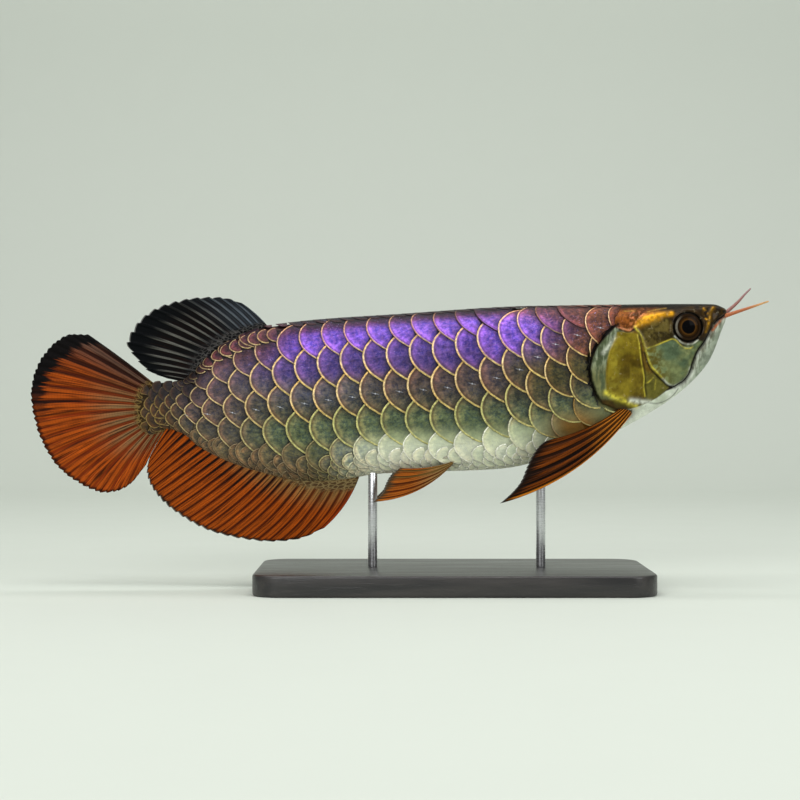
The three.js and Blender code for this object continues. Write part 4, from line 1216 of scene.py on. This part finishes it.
def buildEye(side, material, node):
    place = np.array(head["eye"])
    back, height = trueSize(place, flankY(*place))
    slopeBack = float(flankY(back + 1, height) - flankY(back - 1, height)) / 2
    slopeUp = float(flankY(back, height + 1) - flankY(back, height - 1)) / 2
    middle = np.array([-back, float(flankY(back, height)), height])
    facing = np.array([slopeBack, 1, -slopeUp * eye["turned"]])
    facing /= np.linalg.norm(facing)
    first = np.cross([0, 0, 1.0], facing)
    first /= np.linalg.norm(first)
    second = np.cross(facing, first)

    def shape(across, lengthwise):
        turn = across * 2 * math.pi
        r = lengthwise * eye["radius"]
        h = eye["proud"] + eye["dome"] * (np.sqrt(1 - 0.86 * lengthwise ** 2) - 1)
        h = h - eye["rimDrop"] * smooth(lengthwise, 0.93, 1.0)
        flat = first * (r * np.cos(turn))[:, None] + second * (r * np.sin(turn))[:, None]
        points = (middle + flat + facing * h[:, None]) * [1, side, 1]
        return toWorld(points), {"ring": r, "rear": np.cos(turn) * lengthwise, "turn": across}, {}

    obj = gridPiece("eyeRight" if side < 0 else "eyeLeft", *eye["grid"], shape)
    finishPiece(obj, material, [node])


def eyeMaterial():
    material, w = newMaterial("wetEye")
    e = eye
    ring, turn = w.attribute("ring"), w.attribute("turn") * fullTurn
    fibres = w.noise(1.0, 4, w.vector(w.math("SINE", turn) * 9, w.math("COSINE", turn) * 9, ring * 0.8))
    colour = w.mix(e["black"], e["amber"], ring.ramp(e["pupil"], e["pupil"] + 0.5))
    colour = w.mix(colour, e["brown"], ring.ramp(e["goldInner"] + 0.2, e["goldOuter"] + 0.7))
    colour = w.mix(colour, e["dark"], ring.ramp(4.0, 4.7))
    white = ring.ramp(e["iris"], e["iris"] + 0.3) * ring.ramp(e["white"] - 0.35, e["white"], 1, 0)
    colour = w.mix(colour, e["ring"], white * 0.7)
    # Painted highlight: a pale crescent on the ring's rear side
    colour = w.mix(colour, e["pale"], white * w.attribute("rear").ramp(0.3, 0.95, 0, 0.8))
    # Painted shade: a dark ring at the eye's edge, in the socket
    colour = w.mix(colour, (0.006, 0.005, 0.004), ring.ramp(e["white"] - 0.15, e["white"] + 0.15))
    colour = w.mix(colour, (0.01, 0.006, 0.003), fibres.ramp(0.5, 0.75, 0, 0.5) * ring.ramp(2.9, 3.4))
    return finish(material, w, {
        "Base Color": colour,
        "Roughness": 0.5,
        "Specular IOR Level": 0.01,
        "Coat Weight": 0.035,
        "Coat Roughness": 0.03,
        "Normal": w.bumped(fibres, 0.0001, 0.4),
    })


# The feelers on the lower jaw's tip

barbels = {
    "radius": [1, 0.35],
    "right": {"side": -1, "line": [[1.6, 35.9], [-5.2, 38.2], [-12.5, 40.6], [-18.6, 42.7]],
              "root": rgb(168, 88, 34), "tip": rgb(206, 160, 100)},
    "left": {"side": 1, "line": [[1.4, 36.6], [-4.4, 41.6], [-7.9, 45.4], [-10.8, 48.3]],
             "root": rgb(132, 82, 72), "tip": rgb(138, 106, 106)},
    "rootY": 1.4,
    "splay": 9,
    "rings": [0.05, 150],  # how strong the fine rings are, and how close
    "grid": [16, 90],
}


def buildBarbel(end, materialName):
    spec = barbels[end]
    line, side = spec["line"], spec["side"]

    def shape(across, lengthwise):
        turn = across * 2 * math.pi
        ahead = along(line, np.minimum(1, lengthwise + 0.02)) - along(line, np.maximum(0, lengthwise - 0.02))
        ahead /= np.hypot(*ahead.T)[:, None]
        root, tip = barbels["radius"]
        strength, pitch = barbels["rings"]
        radius = (root + (tip - root) * lengthwise ** 0.8) * (1 + strength * np.sin(lengthwise * pitch))
        radius = radius * np.sqrt(np.clip((1 - lengthwise) / 0.04, 0, 1)) * np.clip(lengthwise / 0.01, 0, 1)
        out = barbels["rootY"] + barbels["splay"] * lengthwise
        flat = trueSize(along(line, lengthwise), -side * out)
        up = np.stack([-ahead[:, 1], ahead[:, 0]], -1) * (radius * np.sin(turn))[:, None]
        back, height = (flat + up).T
        points = np.stack([-back, side * out + radius * np.cos(turn), height], -1)
        return toWorld(points), {"out": lengthwise}, {}

    material, w = newMaterial(materialName)
    bands = w.noise(500, 3)
    colour = w.mix(spec["root"], spec["tip"], w.attribute("out").ramp(0.45, 1.0))
    finish(material, w, {
        "Base Color": w.mix(colour, (0.12, 0.05, 0.02), bands.ramp(0.5, 0.75, 0, 0.5)),
        "Roughness": 0.4,
        "Coat Weight": 0.2,
        "Normal": w.bumped(bands, 0.0002, 0.5),
    })
    obj = gridPiece("barbel" + end.title(), *barbels["grid"], shape)
    finishPiece(obj, material, ["barbel_" + end])


# The stand: a black stained wooden base with rounded edges, and two brushed steel rods

stand = {
    "corner": 0.012, "cornerSegments": 12, "edge": 0.0011, "edgeSegments": 3, "rodEdge": 0.0004,
    "rodEdgeSegments": 2, "rodSides": 48, "rodLonger": 0.0006, "sharper": 60, "smoothUnder": 40,
}


def finishStandPiece(obj, width, segments, material, node):
    bevelEdges(obj, width, segments, stand["sharper"])
    bpy.ops.object.shade_smooth_by_angle(angle=math.radians(stand["smoothUnder"]))
    finishPiece(obj, material, [node])


def buildStand():
    low, high = (Vector(corner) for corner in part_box("stand_base"))
    bpy.ops.object.select_all(action="DESELECT")
    bpy.ops.mesh.primitive_cube_add(size=1, location=(low + high) / 2, scale=high - low)
    base = bpy.context.object
    base.name = base.data.name = "standBase"
    bpy.ops.object.transform_apply(location=True, rotation=True, scale=True)
    selectEdges(base, lambda a, b: abs(a.z - b.z) > 0.5 * (high.z - low.z))
    bpy.ops.mesh.bevel(offset=stand["corner"], segments=stand["cornerSegments"])
    bpy.ops.object.mode_set(mode="OBJECT")
    finishStandPiece(base, stand["edge"], stand["edgeSegments"], woodMaterial(), "stand_base")
    steel = steelMaterial()
    for name, node in (("standRodFront", "stand_rod_front"), ("standRodRear", "stand_rod_rear")):
        low, high = (Vector(corner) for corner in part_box(node))
        bpy.ops.object.select_all(action="DESELECT")
        bpy.ops.mesh.primitive_cylinder_add(
            vertices=stand["rodSides"], radius=(high.x - low.x) / 2, location=(low + high) / 2,
            depth=high.z - low.z + stand["rodLonger"])
        rod = bpy.context.object
        rod.name = rod.data.name = name
        bpy.ops.object.transform_apply(location=True, rotation=True, scale=True)
        finishStandPiece(rod, stand["rodEdge"], stand["rodEdgeSegments"], steel, node)


# Wood and steel have fine lines along the piece
def grainPlace(w, scale):
    return w.node("Mapping", {}, {"Vector": w.node("TexCoord", {}, {}, "Object"), "Scale": scale})


def woodMaterial():
    material, w = newMaterial("blackStainedWood")
    place = grainPlace(w, (6, 90, 60))
    grain, pores = w.noise(3, 6, place, 0.6), w.noise(9, 4, place, 0.7)
    return finish(material, w, {
        "Base Color": w.mix((0.011, 0.01, 0.0105), (0.03, 0.026, 0.024), grain.ramp(0.35, 0.65)),
        "Roughness": grain.ramp(0.3, 0.7, 0.34, 0.46),
        "Coat Weight": 0.25,
        "Coat Roughness": 0.2,
        "Normal": w.bumped(grain * 0.5 + pores.ramp(0.5, 0.7), 0.00015, 0.5),
    })


def steelMaterial():
    material, w = newMaterial("brushedSteel")
    lines = w.noise(4, 5, grainPlace(w, (60, 60, 2500)), 0.6)
    return finish(material, w, {
        "Base Color": w.mix((0.55, 0.56, 0.57), (0.68, 0.69, 0.7), lines.ramp(0.3, 0.7)),
        "Metallic": 1.0,
        "Roughness": lines.ramp(0.3, 0.7, 0.24, 0.36),
        "Normal": w.bumped(lines, 0.00003, 0.4),
    })


# Floor, light and camera

stage = {"front": -3, "depth": 1.3, "height": 1.9, "half": 2.6, "sweep": 0.5, "sweepSegments": 24,
         "colour": rgb(206, 212, 202)}
# Each light: where it stands, what it aims at, its size in m and its power
lights = {
    "overhead": [(-0.05, -0.2, 0.95), (-0.02, 0, 0.08), (0.9, 0.5), 5.5],
    "front": [(-0.5, -1.2, 0.6), (-0.02, 0, 0.08), (0.7, 0.5), 7.2],
    "headSide": [(0.7, -0.75, 0.5), (0.08, 0, 0.1), (0.4, 0.4), 3],
    "backdrop": [(0, 0.5, 1.7), (0, 1.3, 0.5), (2.6, 0.4), 14],
}
sky = {"Color": (0.9, 0.92, 0.92, 1), "Strength": 0.28}


def buildStage():
    bpy.ops.object.select_all(action="DESELECT")
    bpy.ops.mesh.primitive_plane_add(size=2)
    floor = bpy.context.object
    floor.name = "floor"
    for vertex in floor.data.vertices:
        vertex.co.x *= stage["half"]
        vertex.co.y = stage["depth"] if vertex.co.y > 0 else stage["front"]
    selectEdges(floor, lambda a, b: a.y > 0 and b.y > 0)
    bpy.ops.mesh.extrude_region_move(TRANSFORM_OT_translate={"value": (0, 0, stage["height"])})
    bpy.ops.object.mode_set(mode="OBJECT")
    bevelEdges(floor, stage["sweep"], stage["sweepSegments"], 30)
    bpy.ops.object.shade_smooth()
    material, w = newMaterial("paleFloor")
    floor.data.materials.append(finish(material, w, {
        "Base Color": (*stage["colour"], 1), "Roughness": w.noise(30, 2).ramp(0.3, 0.7, 0.7, 0.8),
        "Specular IOR Level": 0.2}))


def addToScene(obj, place, turn):
    bpy.context.collection.objects.link(obj)
    obj.location = place
    obj.rotation_euler = turn
    return obj


def buildLights():
    world = bpy.data.worlds.new("studio")
    bpy.context.scene.world = world
    world.use_nodes = True
    for name, value in sky.items():
        world.node_tree.nodes["Background"].inputs[name].default_value = value
    for name, (place, aim, size, power) in lights.items():
        light = bpy.data.lights.new(name, "AREA")
        light.shape = "RECTANGLE"
        light.size, light.size_y = size
        light.energy = power
        turn = (Vector(aim) - Vector(place)).to_track_quat("-Z", "Y").to_euler()
        addToScene(bpy.data.objects.new(name, light), place, turn)


def buildCamera():
    data = bpy.data.cameras.new("camera")
    data.lens = camera["lens"]
    data.sensor_width = camera["sensor"]
    place = (snoutX - camera["back"] * mm, -camera["distance"] * mm, axisZ)
    bpy.context.scene.camera = addToScene(bpy.data.objects.new("camera", data), place, (math.pi / 2, 0, 0))


buildCamera()
buildStage()
buildLights()
print("stage, lights and camera are set")

skinRowCount = skinGrid["snoutRows"] + skinGrid["headRows"] + skinGrid["bodyRows"]
finishPiece(gridPiece("skin", skinGrid["around"], skinRowCount, skinShape), skinMaterial(),
            ["head", "lower_jaw", "gill_cover_right", "gill_cover_left", "trunk", "tail"])

layout = scaleRows()
pearl = scaleMaterial()
buildScales("scalesRight", -1, layout, pearl)
# The plates on the middle line belong to the right side's piece
buildScales("scalesLeft", 1, [item for item in layout if 0 < item[1] < 1], pearl)
print("scales on the right side:", len(layout))

for name, slot in (("caudal", "orange_fin"), ("dorsal", "dark_fin"), ("anal", "orange_fin")):
    buildFin(name + "Fin", fins[name], 0, finMaterial(name + "Fin"), [name + "_fin"])
for name in ("pectoral", "pelvic"):
    look = finMaterial(name + "Fin")
    for side, label in ((-1, "Right"), (1, "Left")):
        buildFin(name + "Fin" + label, fins[name], side, look, [name + "_fin_" + label.lower()])

wetEye = eyeMaterial()
buildEye(-1, wetEye, "eye_right")
buildEye(1, wetEye, "eye_left")
buildBarbel("right", "orangeBarbel")
buildBarbel("left", "mauveBarbel")
buildStand()

bpy.context.scene.view_settings.view_transform = "Standard"
